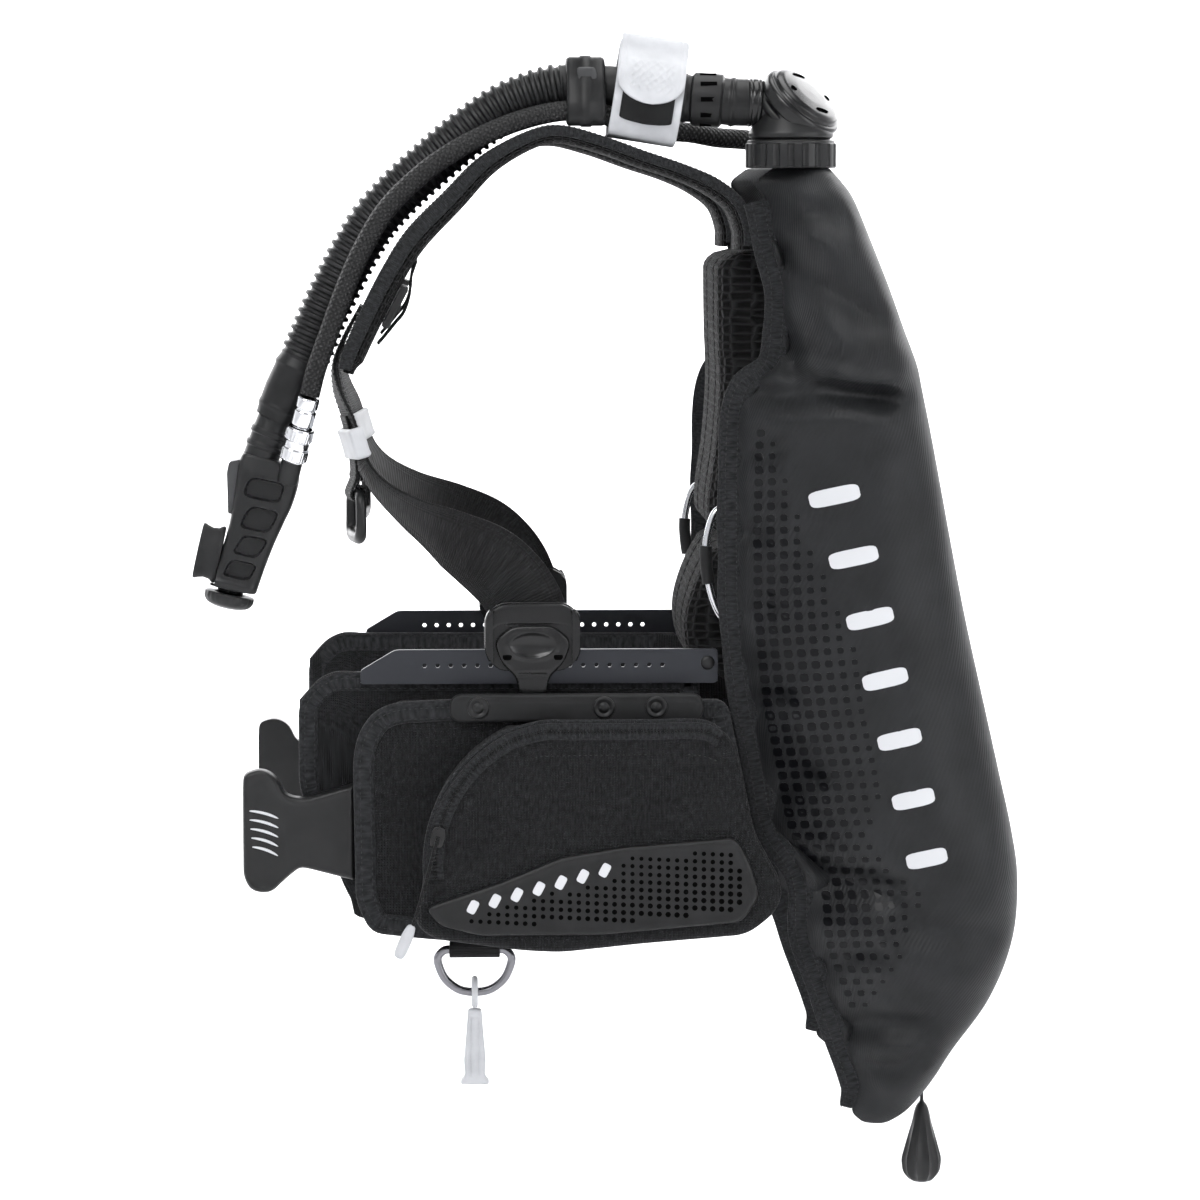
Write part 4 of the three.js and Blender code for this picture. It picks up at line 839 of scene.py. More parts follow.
def halftone():
    """Rows of dots that follow the seam: each row starts a fixed step behind it and grows longer to the middle."""
    squares = []
    for z in np.arange(42.0, -344.0, -8.2):
        front = float(lobe_sizes(np.array([z]))[0][0])
        share = (42.0 - z) / 386.0
        wide = np.interp(share, [0.0, 0.15, 0.42, 0.62, 0.75, 0.82, 0.9, 1.0], [6, 26, 66, 62, 40, 62, 46, 10])
        start = np.interp(share, [0.0, 0.5, 0.78, 1.0], [27, 26, 26, 27])
        x = front + start + np.arange(0.0, wide, 8.2)
        last = (x - front - start) / max(wide, 1.0)
        size = np.interp(last, [0.0, 0.5, 1.0], [6.1, 5.7, 3.4])
        size = size * np.interp(share, [0, 0.5, 0.85, 1], [0.85, 1, 0.95, 0.75])
        z_here = z + 0.12 * (x - x[0])
        squares.append(rounded_square(x, z_here, size, math.radians(7)))
    patch_on_lobe("halftone_print", np.vstack(squares), print_gloss, 0.25)


def silver_marks():
    """Seven plain slanted bars of falling length, evenly spaced down the lobe."""
    shapes = []
    for k in range(7):
        share = k / 6
        x, z = 24 + 62 * share**0.9, 2 - 240 * share
        long, wide = 16.5 - 0.5 * k, 5.6
        direction = unit([math.cos(math.radians(14)), math.sin(math.radians(14))])
        normal = np.array([-direction[1], direction[0]])
        a, b = oval(full_turn(20) + 0.1, 0.45)
        shapes.append(np.array([x, z]) + a[:, None] * direction * long + b[:, None] * normal * wide)
    patch_on_lobe("silver_marks", np.array(shapes), print_silver, 0.35, (1.0, 0.86, 0.7, 0.52, 0.34, 0.16))


def make_air_cell():
    """Two lobes of teardrop rings drawn in at both ends, and a gathered round bridge behind the neck."""
    angle = np.linspace(-math.pi, math.pi, 144, endpoint=False)
    z = np.concatenate([[217.5, 217.0], np.linspace(216.0, -426.5, 330), [-427.6, -428.0]])
    shrink = np.ones(len(z))
    shrink[[0, 1, -2, -1]] = [0.55, 0.85, 0.8, 0.4]
    a, h = np.meshgrid(angle, z)
    grid = lobe_points(a, np.clip(h, -427.9, 216.0))
    grid[..., 2] = h
    middle = grid.mean(axis=1, keepdims=True)
    grid = middle + (grid - middle) * shrink[:, None, None]
    grid[..., 2] = h
    made = on_both_sides("air_lobe", grid, twill, crease=80)
    y = np.linspace(-118.0, 118.0, 90)
    t = full_turn(56)
    yy, tt = np.meshgrid(y, t, indexing="ij")
    gather = 1.0 - 0.05 * np.sin(yy / 7.0 + np.sin(tt * 2)) * np.cos(tt) ** 2 + 0.03 * np.sin(yy / 23.0 + tt)
    bridge = np.stack([14.3 + 19.5 * np.cos(tt) * gather, yy, 155 + 44.5 * np.sin(tt) * gather], axis=-1)
    made.append(lofted("air_bridge", bridge, twill, crease=80))
    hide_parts("air_cell")
    halftone()
    silver_marks()


def make_seam_tape():
    """Binding folded over the lobe's seam: a thin rounded strip that waves a little with the gathers."""
    z = np.linspace(194.0, -417.0, 270)
    front, _, middle, _ = lobe_sizes(z)
    wave = 0.8 * np.sin(z / 6.1) + 0.9 * np.sin(z / 17.0)
    path = np.stack([front + 9.0 + 0.4 * np.sin(z / 9.0), middle + wave, z], axis=1)
    width = 8.6 - 4.6 * ramp(-392.0 - z, 25.0) ** 2
    on_both_sides("seam_tape", swept(path, (1.0, 0.0, 0.0), width, 1.7, 24, 4.0), binding,
                  replaces=("wing_edge_tape_{}",))
    for side, sign in SIDES:
        lines = [(np.stack([front + d, sign * (middle + wave - 1.75), z], axis=1), (0, -sign, 0)) for d in (5.5, 13.0)]
        stitches(f"seam_stitches_{side}", lines, thread)


# ------------------------------------------------------------------ back unit, band and pads


def make_back_unit():
    """The plate's and the cam buckle's finishes, the band, two pads and the ribs of the cylinder's grip."""
    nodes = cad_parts
    for name, material in (("backplate", satin), ("tank_grip_pad", rubber), ("cam_buckle_frame", dark_metal),
                           ("cam_buckle_lever", satin)):
        dress(nodes[name], material)
    tank_band()
    cushion("back_cushion", "back_pad", [(-45.7, 161), (-46.2, 150), (-45.7, 106), (-44.5, 70), (-47, 30), (-52, -8),
                                         (-51, -28), (-46, -34)], 14.6)
    cushion("lumbar_cushion", "lumbar_pad", [(-46, -36.5), (-58, -58), (-66, -80), (-68, -98), (-64, -118),
                                             (-54, -130), (-42, -134)], 14.6)
    ridges = [tube(np.array([[1.2, y, -88.0], [1.2, y, 88.0]]), 0.9, 10) for y in np.arange(-20.0, 21.0, 5.0)]
    joined("grip_ribs", ridges, rubber)


def tank_band():
    """The cylinder's strap: a flat woven band standing on edge, closed on itself."""
    middle, half_width, half_thickness, step = -62.0, 25.0, 1.25, 2.5
    half = [(-16.05, 0), (-16.05, 30), (-16.05, 49), (-10, 63), (2, 71), (20, 83), (46, 89.2), (74, 80), (92, 54),
            (98, 25)]
    loop = half + [(99, 0)] + [(x, -y) for x, y in half[:0:-1]]
    count = 172
    path = smooth_path(np.array(loop * 3 + loop[:1], float), 3 * count + 1)[count:2 * count]
    along = tangents(path, True)
    outward = np.stack([along[:, 1], -along[:, 0]], axis=1)
    rise = np.linspace(-half_width, half_width, round(2 * half_width / step) + 1)
    section = [(half_thickness, z) for z in rise] + [(-half_thickness, z) for z in rise[::-1]]
    grid = np.array([[(*(point + out * side), middle + z) for side, z in section]
                     for point, out in zip(path, outward)])
    closed_piece("cylinder_band", grid, webbing, replaces=("tank_band",), step=step)


def dress(node, material):
    """Gives a CAD node its finish."""
    node.data.materials.clear()
    node.data.materials.append(material)


def cushion(name, node, profile, back):
    """A pad across the back: the side profile is swept over Y, and its front is drawn in to a quarter round
    near both sides, over two sewn channels."""
    rows = smooth_path(profile, 60)
    y = np.linspace(-86.0, 86.0, 90)
    edge = ramp(86.0 - np.abs(y), 12.0)
    fall = np.sqrt(1.0 - (1.0 - edge) ** 2)
    channel = np.exp(-((np.abs(y) - 34.0) / 4.0) ** 2)
    s = np.linspace(0.0, 1.0, len(rows))
    ends = np.sqrt(np.clip(1.0 - (1.0 - np.clip(np.minimum(s, 1.0 - s) / 0.07, 0.0, 1.0)) ** 2, 0.0, 1.0))
    thick = np.outer(ends, fall)
    front = (rows[:, 0][:, None] + back) * (0.3 + 0.7 * thick) + 3.2 * channel[None, :] * thick - back
    front_face = np.stack([front, np.broadcast_to(y, front.shape), np.broadcast_to(rows[:, 1, None], front.shape)], -1)
    # the ring of each row runs along the front and returns along the flat back
    returning = np.stack([np.full((len(rows), 30), -back),
                          np.broadcast_to(np.linspace(86.0, -86.0, 30), (len(rows), 30)),
                          np.broadcast_to(rows[:, 1][:, None], (len(rows), 30))], -1)
    piece = lofted(name, np.concatenate([front_face, returning], axis=1), spacer_mesh, replaces=(node,),
                   crease=60)


# ------------------------------------------------------------------ shoulder straps and webbing

SHOULDER = [
    [-30, -85, 162, 0, 12], [-30.5, -85, 176, 0, 12], [-37, -86, 192, 0, 12], [-52, -88, 204, 0, 12],
    [-73, -91, 213.5, 0, 11], [-100, -94, 222.5, 0, 11], [-127, -97, 232, 0, 11], [-154, -99, 238.6, 0, 11.5],
    [-174, -100, 234.6, 0, 12], [-201, -100, 219, 0, 13.5], [-225, -100, 194.5, 0, 15], [-250.5, -100, 168, 0, 16],
    [-266.6, -100, 143, 0, 16], [-280.5, -100, 116, 0, 16], [-291.5, -100, 92, 0, 15], [-295.5, -100, 80, 0, 12]]
WEBBING = [
    [-289.9, -100, 119.5, 0, 2.5], [-301.8, -100, 96, 1, 2.5], [-305.2, -100, 82, 3, 2.5], [-302.5, -100, 66, 7, 2.5],
    [-296.3, -100, 50, 10, 2.5], [-291, -100, 33, 10, 2.5], [-284.5, -101.5, 15, 13, 2.5], [-273, -105.5, 0, 22, 2.5],
    [-254, -112, -15, 38, 2.5], [-227, -121, -31, 58, 2.5], [-202, -128.6, -45.5, 73, 2.5],
    [-188.5, -132.6, -57.5, 82, 2.5], [-179.5, -134.7, -70, 88, 2.5], [-173.8, -135.2, -83, 90, 2.5]]


def make_shoulder_straps():
    """A padded core, thinner towards its tip, under a cloth cover with a bound and sewn edge on each side."""
    core = strip(SHOULDER, 150, 66.0, 56, 5.0)
    rows = smooth_path(np.array(SHOULDER, float), 150)
    s = path_length(rows)
    taper = np.clip((s[-1] - s) / 10.0, 0.35, 1.0)[:, None, None]
    middle = core.mean(axis=1, keepdims=True)
    core = middle + (core - middle) * (1 - (1 - taper) * 0.6)
    pads = on_both_sides("shoulder_pad", core, spacer_mesh, replaces=("shoulder_strap_{}",))
    half = rows[:, 4] / 2
    along = tangents(rows[:, :3])
    _, out = side_vectors(along, (0.0, -1.0, 0.0))
    if out[20, 2] < 0:
        out = -out
    top = rows[:, :3] + out * (half[:, None] - 0.4)
    on_both_sides("strap_cover", swept(top[2:-2], (0.0, -1.0, 0.0), 33.0, 0.9, 24, 6.0), cordura)
    for edge, label in ((-33.5, "outer"), (33.5, "inner")):
        line = rows[:, :3] + np.array([0.0, edge, 0.0]) + out * (half[:, None] * 0.42)
        tape = swept(line[1:-1], out[1:-1], half[1:-1] * 0.62, 2.3, 18, 3.0)
        on_both_sides(f"strap_binding_{label}", tape, binding)
        seam = rows[:, :3] + np.array([0.0, edge * 0.86, 0.0]) + out * (half[:, None] + 0.6)
        for side, sign in SIDES:
            stitches(f"strap_stitches_{label}_{side}", [(seam[4:-4] * [1, sign, 1], UP)], thread)
    make_adjusters()
    make_webbing()


def make_adjusters():
    """A ladder buckle lying on the pad: two long slots in a rounded plate with a raised bar between them."""
    along = unit(np.array([-0.457, 0.0, -0.889]))
    across = np.array([0.0, -1.0, 0.0])
    outward = np.cross(across, along)
    seat = np.array([-274.0, -100.0, 129.2]) + outward * 8.3

    u = np.linspace(-30.0, 30.0, 14)[:, None]
    grids = [swept(seat + u * across + v * along + thick / 2 * outward, along, half_v, thick / 2, 20, 3.0)
             for v, half_v, thick in ((-12.8, 2.4, 5.6), (0.0, 2.9, 6.8), (12.8, 2.4, 5.2))]
    for u in (-28.0, 28.0):
        v = np.linspace(-14.0, 14.0, 12)
        path = seat + u * across + v[:, None] * along + 2.8 * outward
        grids.append(swept(path, across, 2.4, 2.8, 20, 3.0))
    for side, sign in SIDES:
        joined(f"ladder_buckle_{side}", [g * [1, sign, 1] for g in grids], satin,
               replaces=(f"strap_adjuster_{side}",))
        lead = [[*(seat + outward * (6.0 + lift) + along * v), 0, 2.0] for v, lift in
                ((-34, -4.5), (-22, -2.5), (-12, 1.6), (0, 3.6), (10, 1.6), (20, -0.5), (27, -2.2))]
        lofted(f"threaded_webbing_{side}", strip(lead, 40, 48.0, 28) * [1, sign, 1], webbing)


def make_webbing():
    grid = strip(WEBBING, 170, 50.0, 40, 8.0)
    pair = on_both_sides("chest_webbing", grid, webbing, "")
    rows = smooth_path(np.array(WEBBING, float), 170)
    angle = np.radians(rows[:, 3])
    across = np.stack([np.sin(angle), -np.cos(angle), np.zeros(170)], axis=1)
    first, second = side_vectors(tangents(rows[:, :3]), across)
    for (side, sign), piece in zip(SIDES, pair):
        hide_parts(f"strap_webbing_{side}")
        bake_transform(piece)
        lines = [((rows[:, :3] + first * w + second * 1.4 * face)[6:-12] * [1, sign, 1], (face, 0.3 * face * sign, 0))
                 for face in (-1, 1) for w in (-21.5, 21.5)]
        threads = stitches(f"webbing_stitches_{side}", lines, black_thread, "")
        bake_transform(threads)
        make_tail(side, sign)


# The strap's end is turned a little about Z where the keeper and the finger ring are.
END_TURN = math.radians(10.0)
END_ACROSS = np.array([math.sin(END_TURN), -math.cos(END_TURN), 0.0])
RING_BAR = np.array([-291.0, -100.0, -1.0])


def make_tail(side, sign):
    """The doubled end of the strap: down through the keeper to a loop round the finger ring's bar."""
    outward = np.array([-math.cos(END_TURN), -math.sin(END_TURN), 0.0])
    t = np.linspace(math.radians(60), math.radians(395), 30)
    loop = RING_BAR + 5.1 * (np.cos(t)[:, None] * UP + np.sin(t)[:, None] * outward)
    down = np.array([[-299.2, -101.0, 51.0], [-295.4, -100.7, 37.0], [-292.9, -100.4, 22.0], [-292.4, -100.3, 10.0]])
    path = smooth_path(np.vstack([down, loop[::3]]), 80)
    grid = swept(path, END_ACROSS, 13.0, 1.0, 24, 7.0)
    lofted(f"ring_loop_{side}", grid * [1, sign, 1], webbing, crease=60)


def make_pull_rings():
    """A rounded-rectangle wire: superellipse path, round section, thicker at the grip."""
    c, s = oval(full_turn(96), 0.5)
    path = RING_BAR - 15.0 * UP + 21.5 * c[:, None] * END_ACROSS + 15.0 * s[:, None] * UP
    grid = closed_tube(path, 3.5 + 0.7 * np.clip(-s, 0, 1) ** 2)
    for side, sign in SIDES:
        closed_piece(f"finger_ring_{side}", grid * [1, sign, 1], satin, f"pull_ring_{side}",
                     (f"pull_ring_{side}",))
        keeper(side, sign)


def closed_tube(path, radius, sides=20):
    """Rings round a path that meets itself."""
    along = tangents(path, True)
    middle = path.mean(axis=0)
    normal = unit(np.cross(path[1] - middle, path[len(path) // 3] - middle))
    side = np.cross(along, normal)
    angle = full_turn(sides)
    radius = np.broadcast_to(np.asarray(radius, float), (len(path),))
    ring = np.cos(angle)[None, :, None] * side[:, None, :] + np.sin(angle)[None, :, None] * normal
    return path[:, None, :] + ring * radius[:, None, None]


def keeper(side, sign):
    """A soft sleeve round the webbing: a rounded-rectangle ring with a lip at each end."""
    along = unit([0.284, 0.0, -0.9588])
    across = unit(END_ACROSS - along * (END_ACROSS @ along))
    out = np.cross(across, along)
    out = -out if out[0] > 0 else out
    centre = np.array([-291.0, -100.0, 33.0]) + out * 1.25
    c, s = oval(full_turn(64), 0.28)
    outer = [(-10.5, 0.2), (-9.8, 1.8), (-8.6, 2.5), (-6.0, 2.1), (6.0, 2.1), (8.6, 2.5), (9.8, 1.8), (10.5, 0.2)]
    inner = [(10.5, -0.2), (-10.5, -0.2)]
    rings = [centre + along * v + (26.2 + w) * c[:, None] * across + (3.6 + w) * s[:, None] * out
             for v, w in outer + inner]
    closed_piece(f"keeper_sleeve_{side}", np.array(rings) * [1, sign, 1], light_rubber, f"keeper_{side}",
                 (f"strap_keeper_{side}",), 60)


# ------------------------------------------------------------------ rails, sliding buckles and tongues

BUCKLE_X = -173.3


def make_rails():
    """Dressed plates with a fine rolled bead along the top edge and a domed rivet at the rear end."""
    corner = [(-50.2, -126), (-50.2, -115), (-50.2, -108), (-51, -106), (-53, -105.3), (-60, -105.2), (-120, -105.2),
              (-200, -105.2), (-255, -105.2), (-263.5, -105.3), (-266, -106), (-276, -112), (-285.4, -117.9),
              (-286.9, -119.6), (-286.9, -126)]
    bead = smooth_path([(x, -134.5, z) for x, z in corner], 200)
    on_both_sides("rail_bead", tube(bead, 1.1, 12), alloy)
    dome = soft_profile([[4.7, -0.3], [4.7, 0.9], [3.6, 1.7], [1.8, 2.2], [0.3, 2.3]], 0.8)
    on_both_sides("rail_rivet", turned(dome, (-55.7, -135.4, -113.4), (0, -1, 0), 36), satin)
    for side in ("left", "right"):
        dress(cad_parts[f"waist_rail_{side}"], alloy)
        dress(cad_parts[f"rail_buckle_{side}"], gloss)


def make_buckles():
    """A low bridge round the top of each buckle, an ear raised at each end of it, and a shield tongue with an
    oval dish between the ears."""
    def at(corners):
        return [(BUCKLE_X + c[0], *c[1:]) for c in corners]

    hood = outline(at([(-31.5, -81, 6), (-22, -72.6, 7), (22, -72.6, 7), (31.5, -81, 6), (32, -104, 4), (29, -111, 3),
                       (26.7, -109, 1.5), (26.7, -90, 5), (22, -86.8, 4), (-22, -86.8, 4), (-26.7, -90, 5),
                       (-26.7, -109, 1.5), (-29, -111, 3), (-32, -104, 4)]), 3, 1.4)
    slab("buckle_hood", hood, -138.0, -146.15, gloss, "buckle_{}", (), edge=1.2, spacing=1.5, both=True,
         crease=70)
    for label, way in (("front", -1), ("rear", 1)):
        ear = outline(at([(way * 26.7, -75.5, 1.5), (way * 28.6, -75.5, 1.5), (way * 31.8, -81, 5), (way * 32, -104, 4),
                          (way * 29, -111, 3), (way * 26.7, -109, 1.5)]), 3, 1.0)
        slab(f"buckle_ear_{label}", ear, -145.2, -152.2, gloss, "buckle_{}", (), edge=2.2, spacing=1.1,
             both=True, crease=70)
    rim = outline(at([(-31.4, -80.6, 6), (-22.2, -72.4, 7), (22.2, -72.4, 7), (31.4, -80.6, 6), (31.4, -106, 6),
                      (22.4, -117.2, 6), (-22.4, -117.2, 6), (-31.4, -106, 6)]), 3, 3)
    bound_edge("buckle_rim", rim, -140.5, -136.6, 1.6, gloss, "buckle_{}", 0.8)
    w, leg = 26.0, 10.0
    shield = outline(at([(-w * 0.55, -87), (w * 0.55, -87), (w, -97), (w * 0.8, -112), (leg, -122), (leg, -134),
                         (-leg, -134), (-leg, -122), (-w * 0.8, -112), (-w, -97)]), 6, 1.5)

    def dish(x, z, distance):
        """An oval hollow, a low rim round it, and a shallow groove across the leg."""
        oval = np.sqrt(((x - BUCKLE_X) / 15.0) ** 2 + ((z + 99.5) / 8.5) ** 2)
        hollow = -2.4 * np.clip(1.0 - oval**2, 0.0, 1.0)
        lip = 0.8 * bell(oval - 1.06, 0.1)
        groove = -0.9 * bell(z + 119.5, 1.2) * (np.abs(x - BUCKLE_X) < leg)
        return hollow + lip + groove

    slab("shield_tongue", shield, -146.4, -151.4, gloss, "tongue_{}", ("buckle_tongue_{}",), edge=2.0,
         spacing=1.3, relief=dish, both=True, crease=75)
    # Two slots in the tongue, each a thin near-black plate: painted shade where the slots would be open.
    for dx in (-17.0, 17.0):
        slot_ring = outline(at([(dx - 3.4, -106), (dx + 3.4, -106), (dx + 2.6, -109.4), (dx - 2.6, -109.4)]), 1.2, 1.2)
        slab(f"tongue_slot_{'front' if dx < 0 else 'rear'}", slot_ring, -150.6, -151.65, painted_shade_black, "tongue_{}", (),
             edge=0.2, spacing=2.0, both=True)


# ------------------------------------------------------------------ waist panels, pockets, pouches and handles

PANEL = [
    [-18.5, -60, -90, -150, -262], [-18.5, -84, -88, -146, -264], [-30, -104, -50, -139, -268],
    [-48, -116, -28, -124, -276], [-72, -124.6, -10, -121, -286], [-100, -127, 0, -120, -290],
    [-200, -127, 0, -120, -290], [-284, -127, 0, -119.5, -287], [-296, -127, 0, -119, -272],
    [-306, -127, 0, -119.5, -250], [-317, -126.5, 4, -125, -228], [-329, -125, 8, -138, -200]]
POCKET_REAR = [(-35, -185), (-27, -225), (-8, -260), (-13, -275), (-32, -290)]


def make_panels():
    """A padded cloth wall: superellipses standing up along the stations, with a shallow quilted swell."""
    rows = smooth_path(PANEL, 170)
    angle = np.radians(rows[:, 2])
    normal = np.stack([-np.sin(angle), -np.cos(angle), np.zeros(170)], axis=1)
    a, b = rounded_section(120, 7.0)
    s = path_length(rows[:, :2])
    ends = np.sqrt(np.clip(1 - (1 - np.clip(np.minimum(s, s[-1] - s) / 5.0, 0.1, 1.0)) ** 2, 0, 1))
    centre = np.stack([rows[:, 0], rows[:, 1], (rows[:, 3] + rows[:, 4]) / 2], axis=1)
    tall = (rows[:, 3] - rows[:, 4]) / 2
    swell = 1.0 + 0.05 * np.sin(s / 19.0)[:, None] * np.cos(a * 3.0)[None, :]
    grid = (centre[:, None, :] + normal[:, None, :] * ((b * 3.9)[None, :] * ends[:, None] * swell)[..., None]
            + UP * (a[None, :] * tall[:, None])[..., None])
    for panel in on_both_sides("waist_wall", grid, cordura, replaces=("waist_panel_{}",)):
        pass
    edge = outline([(-62, -121.6, 2), (-284, -120.6, 8), (-306, -120.5, 10), (-318, -127, 10), (-328.6, -140, 8),
                    (-328.6, -198, 10), (-306, -249, 10), (-284, -285, 10), (-100, -289, 8), (-62, -286, 2)], 6, 3)
    bound_edge("waist_binding", edge, -131.6, -122.2, 12.0, binding, "vest", 1.2)
    edge_stitches("waist_stitches", edge, (3.0, 9.6), -131.75)


def inset_line(ring, inset):
    """The outline moved towards its inside, closed on itself."""
    direction = tangents(ring, True)
    normal = np.stack([-direction[:, 1], direction[:, 0]], axis=1)
    if inside(ring + normal * inset, ring).mean() < 0.5:
        normal = -normal
    moved = ring + normal * inset
    moved = moved[edge_distance(moved, ring) > inset * 0.85]
    return np.vstack([moved, moved[:1]])


def arc(radius, start, stop, count):
    """An arc in X and Z about the corner of the pocket's zip, between two angles in degrees."""
    angle = np.radians(np.linspace(start, stop, count))
    return np.stack([-147 + radius * np.cos(angle), -241 + radius * np.sin(angle)], axis=1)


def bar_row(start, stop, count, long, wide, lean):
    """Plain slanted bars, evenly spaced from start to stop: superellipses of half sizes long and wide."""
    u, v = oval(full_turn(24), 0.45)
    along = np.array([math.cos(lean), math.sin(lean)])
    across = np.array([-along[1], along[0]])
    centres = np.linspace(start, stop, count)
    return [c + u[:, None] * along * long + v[:, None] * across * wide for c in centres]


def plates(name, rings, y, depth, material, body):
    """Thin closed plates over flat rings of one size, facing outwards on both sides of the vest."""
    rings = np.asarray(rings, float)
    top = np.stack([rings[..., 0], np.full(rings.shape[:2], y - depth), rings[..., 1]], axis=-1)
    stacked_rings(name, np.stack([top, top + [0.0, depth + 0.3, 0.0]], axis=1), material, body, 50)


def make_pockets():
    """A bound flap over a thin box, and a sagging bag over that with the bumper, zip and knife plate on it."""
    base = outline([(-225, -136), (-265, -138), (-279, -144), (-289, -159), (-292, -176), (-290.5, -270),
                    (-281, -290.5), (-249, -294.2), (-182, -300), (-156, -301.5), (-102, -296), *POCKET_REAR[::-1],
                    (-45, -137)], 8, 3)

    def slack(x, z, distance):
        """Slow dimples of loose cloth, strongest in front of the zip."""
        return (0.7 * np.sin(x / 17.0 + z / 29.0) + 0.5 * np.sin(z / 11.0 - x / 23.0)) * ramp(distance, 12.0) - 0.8

    slab("pocket_flap", base, -149.6, -158.3, cordura, "vest", ("cargo_pocket_{}",), edge=3.0,
         spacing=4.0, relief=slack, both=True)
    bound_edge("pocket_binding", base, -159.4, -149.4, 13.0, binding, "vest", 1.2)
    for label, ring in (("top", [(-262, -138), (-284, -151), (-287, -186), (-36, -186), (-46, -138)]),
                        ("bottom", [(-285, -266), (-278, -286), (-100, -289), (-60, -286), (-60, -266)])):
        slab(f"pocket_{label}_wall", outline(ring, 4, 4), -131.0, -150.4, cordura, "vest", (), edge=1.0,
             spacing=9.0, both=True)
    bag = outline([*[(x, z, 1) for x, z in arc(99, 178, 116, 9)], (-150, -151.8, 20), (-58, -151.8, 10),
                   (-42.5, -158, 8), *POCKET_REAR, (-102, -295.5), (-156, -301), (-182, -299.5), (-240, -291.5),
                   (-253, -281), (-247, -260)], 9, 2.5)

    def sag(x, z, distance):
        """The filled pocket's folds: broad swells above the guard that die out at it, none of them raised past it."""
        above = ramp(z + 232 - 0.13 * (x + 60), 14.0) * ramp(distance - 12, 16.0)
        fold = (np.sin((x * 0.5 - z) / 13.0 + 1.4 * np.sin(x / 41.0)) + 0.8 * np.sin((x + z * 0.8) / 19.0 + 0.7)
                + 0.45 * np.sin(x / 7.5 - z / 9.0))
        diagonal = 2.8 * bell(x + 236 - 0.9 * (z + 268), 9.0) * ramp(distance, 10)
        return above * (2.1 * fold - 3.2) + diagonal * above

    for pocket in slab("pocket_bag", bag, -158.0, -188.1, cordura, "vest", (), edge=6.5, spacing=3.0,
                       relief=sag, both=True, crease=70):
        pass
    make_guards()
    make_zips()
    make_knife_plates()
    below_zip = smooth_path([(-231, -205), (-225, -193), (-213, -181), (-197, -172.5), (-179, -170.4), (-160, -169),
                             (-120, -168.6), (-70, -168.6), (-52, -173)], 120)
    edge_stitches("pocket_stitches", base, (3.4, 10.4), -159.6, [(below_zip, -187.9)])


GUARD = [(-245.6, -268.9), (-196, -252.5), (-156, -236.1), (-116.5, -229.6), (-40, -223.5), (-31, -240), (-24, -262),
         (-36, -280), (-129.7, -287.8), (-209.3, -287.9), (-236, -281)]


def make_guards():
    """A moulded rubber bumper: a raised rim, a perforated field whose holes are painted as near-black dots of shade,
    and a row of plain bars.
    """
    ring = outline(GUARD, 6, 2)

    def rim(x, z, distance):
        return 0.8 * bell(distance - 2.6, 1.1) - 0.25 * ramp(distance - 4.0, 3.0)

    slab("bumper", ring, -187.6, -192.6, rubber, "vest", ("pocket_guard_{}",), edge=2.0, spacing=2.0,
         relief=rim, both=True, crease=70)
    row, column = (k.ravel() for k in np.meshgrid(np.arange(12), np.arange(36), indexing="ij"))
    x = -38.0 - column * 5.9
    flat = np.stack([x, -230.0 - row * 5.2 - (x + 38.0) * math.tan(math.radians(5.0)) * 0.6], axis=1)
    size = 0.75 + 0.055 * row + 0.022 * (36 - column)
    bars = np.array(bar_row((-214, -268.5), (-127, -244.5), 7, 4.6, 3.0, math.radians(62)))
    clear = np.linalg.norm(flat[:, None, :] - bars.mean(axis=1)[None], axis=2).min(axis=1)
    line = (flat[:, 0] + 223) / 96 * 26 - 267
    keep = inside(flat, ring) & (edge_distance(flat, ring) > 7.6) & ((flat[:, 1] < line - 9) | (flat[:, 0] > -118))
    keep &= clear > 8
    circle = np.stack([np.cos(full_turn(8)), np.sin(full_turn(8))], axis=1)
    dots = flat[keep][:, None] + size[keep][:, None, None] * circle
    # The perforations are flat near-black dots: painted shade where the holes would be open.
    plates("perforation_shade", dots, -192.3, 0.12, painted_shade_black, "vest")
    plates("guard_bars", bars, -192.3, 0.25, print_silver, "vest")


def zip_line(radius, count=160):
    """The zip's way in X and Z: round the pocket's front corner, then straight back and down at the end."""
    start = arc(radius, 186, 116, 16)
    rest = [(-168, -241 + radius * 0.955), (-150, -241 + radius * 0.958), (-100, -241 + radius * 0.958),
            (-64, -241 + radius * 0.958), (-51, -241 + radius * 0.9)]
    return smooth_path(np.vstack([start, rest]), count)


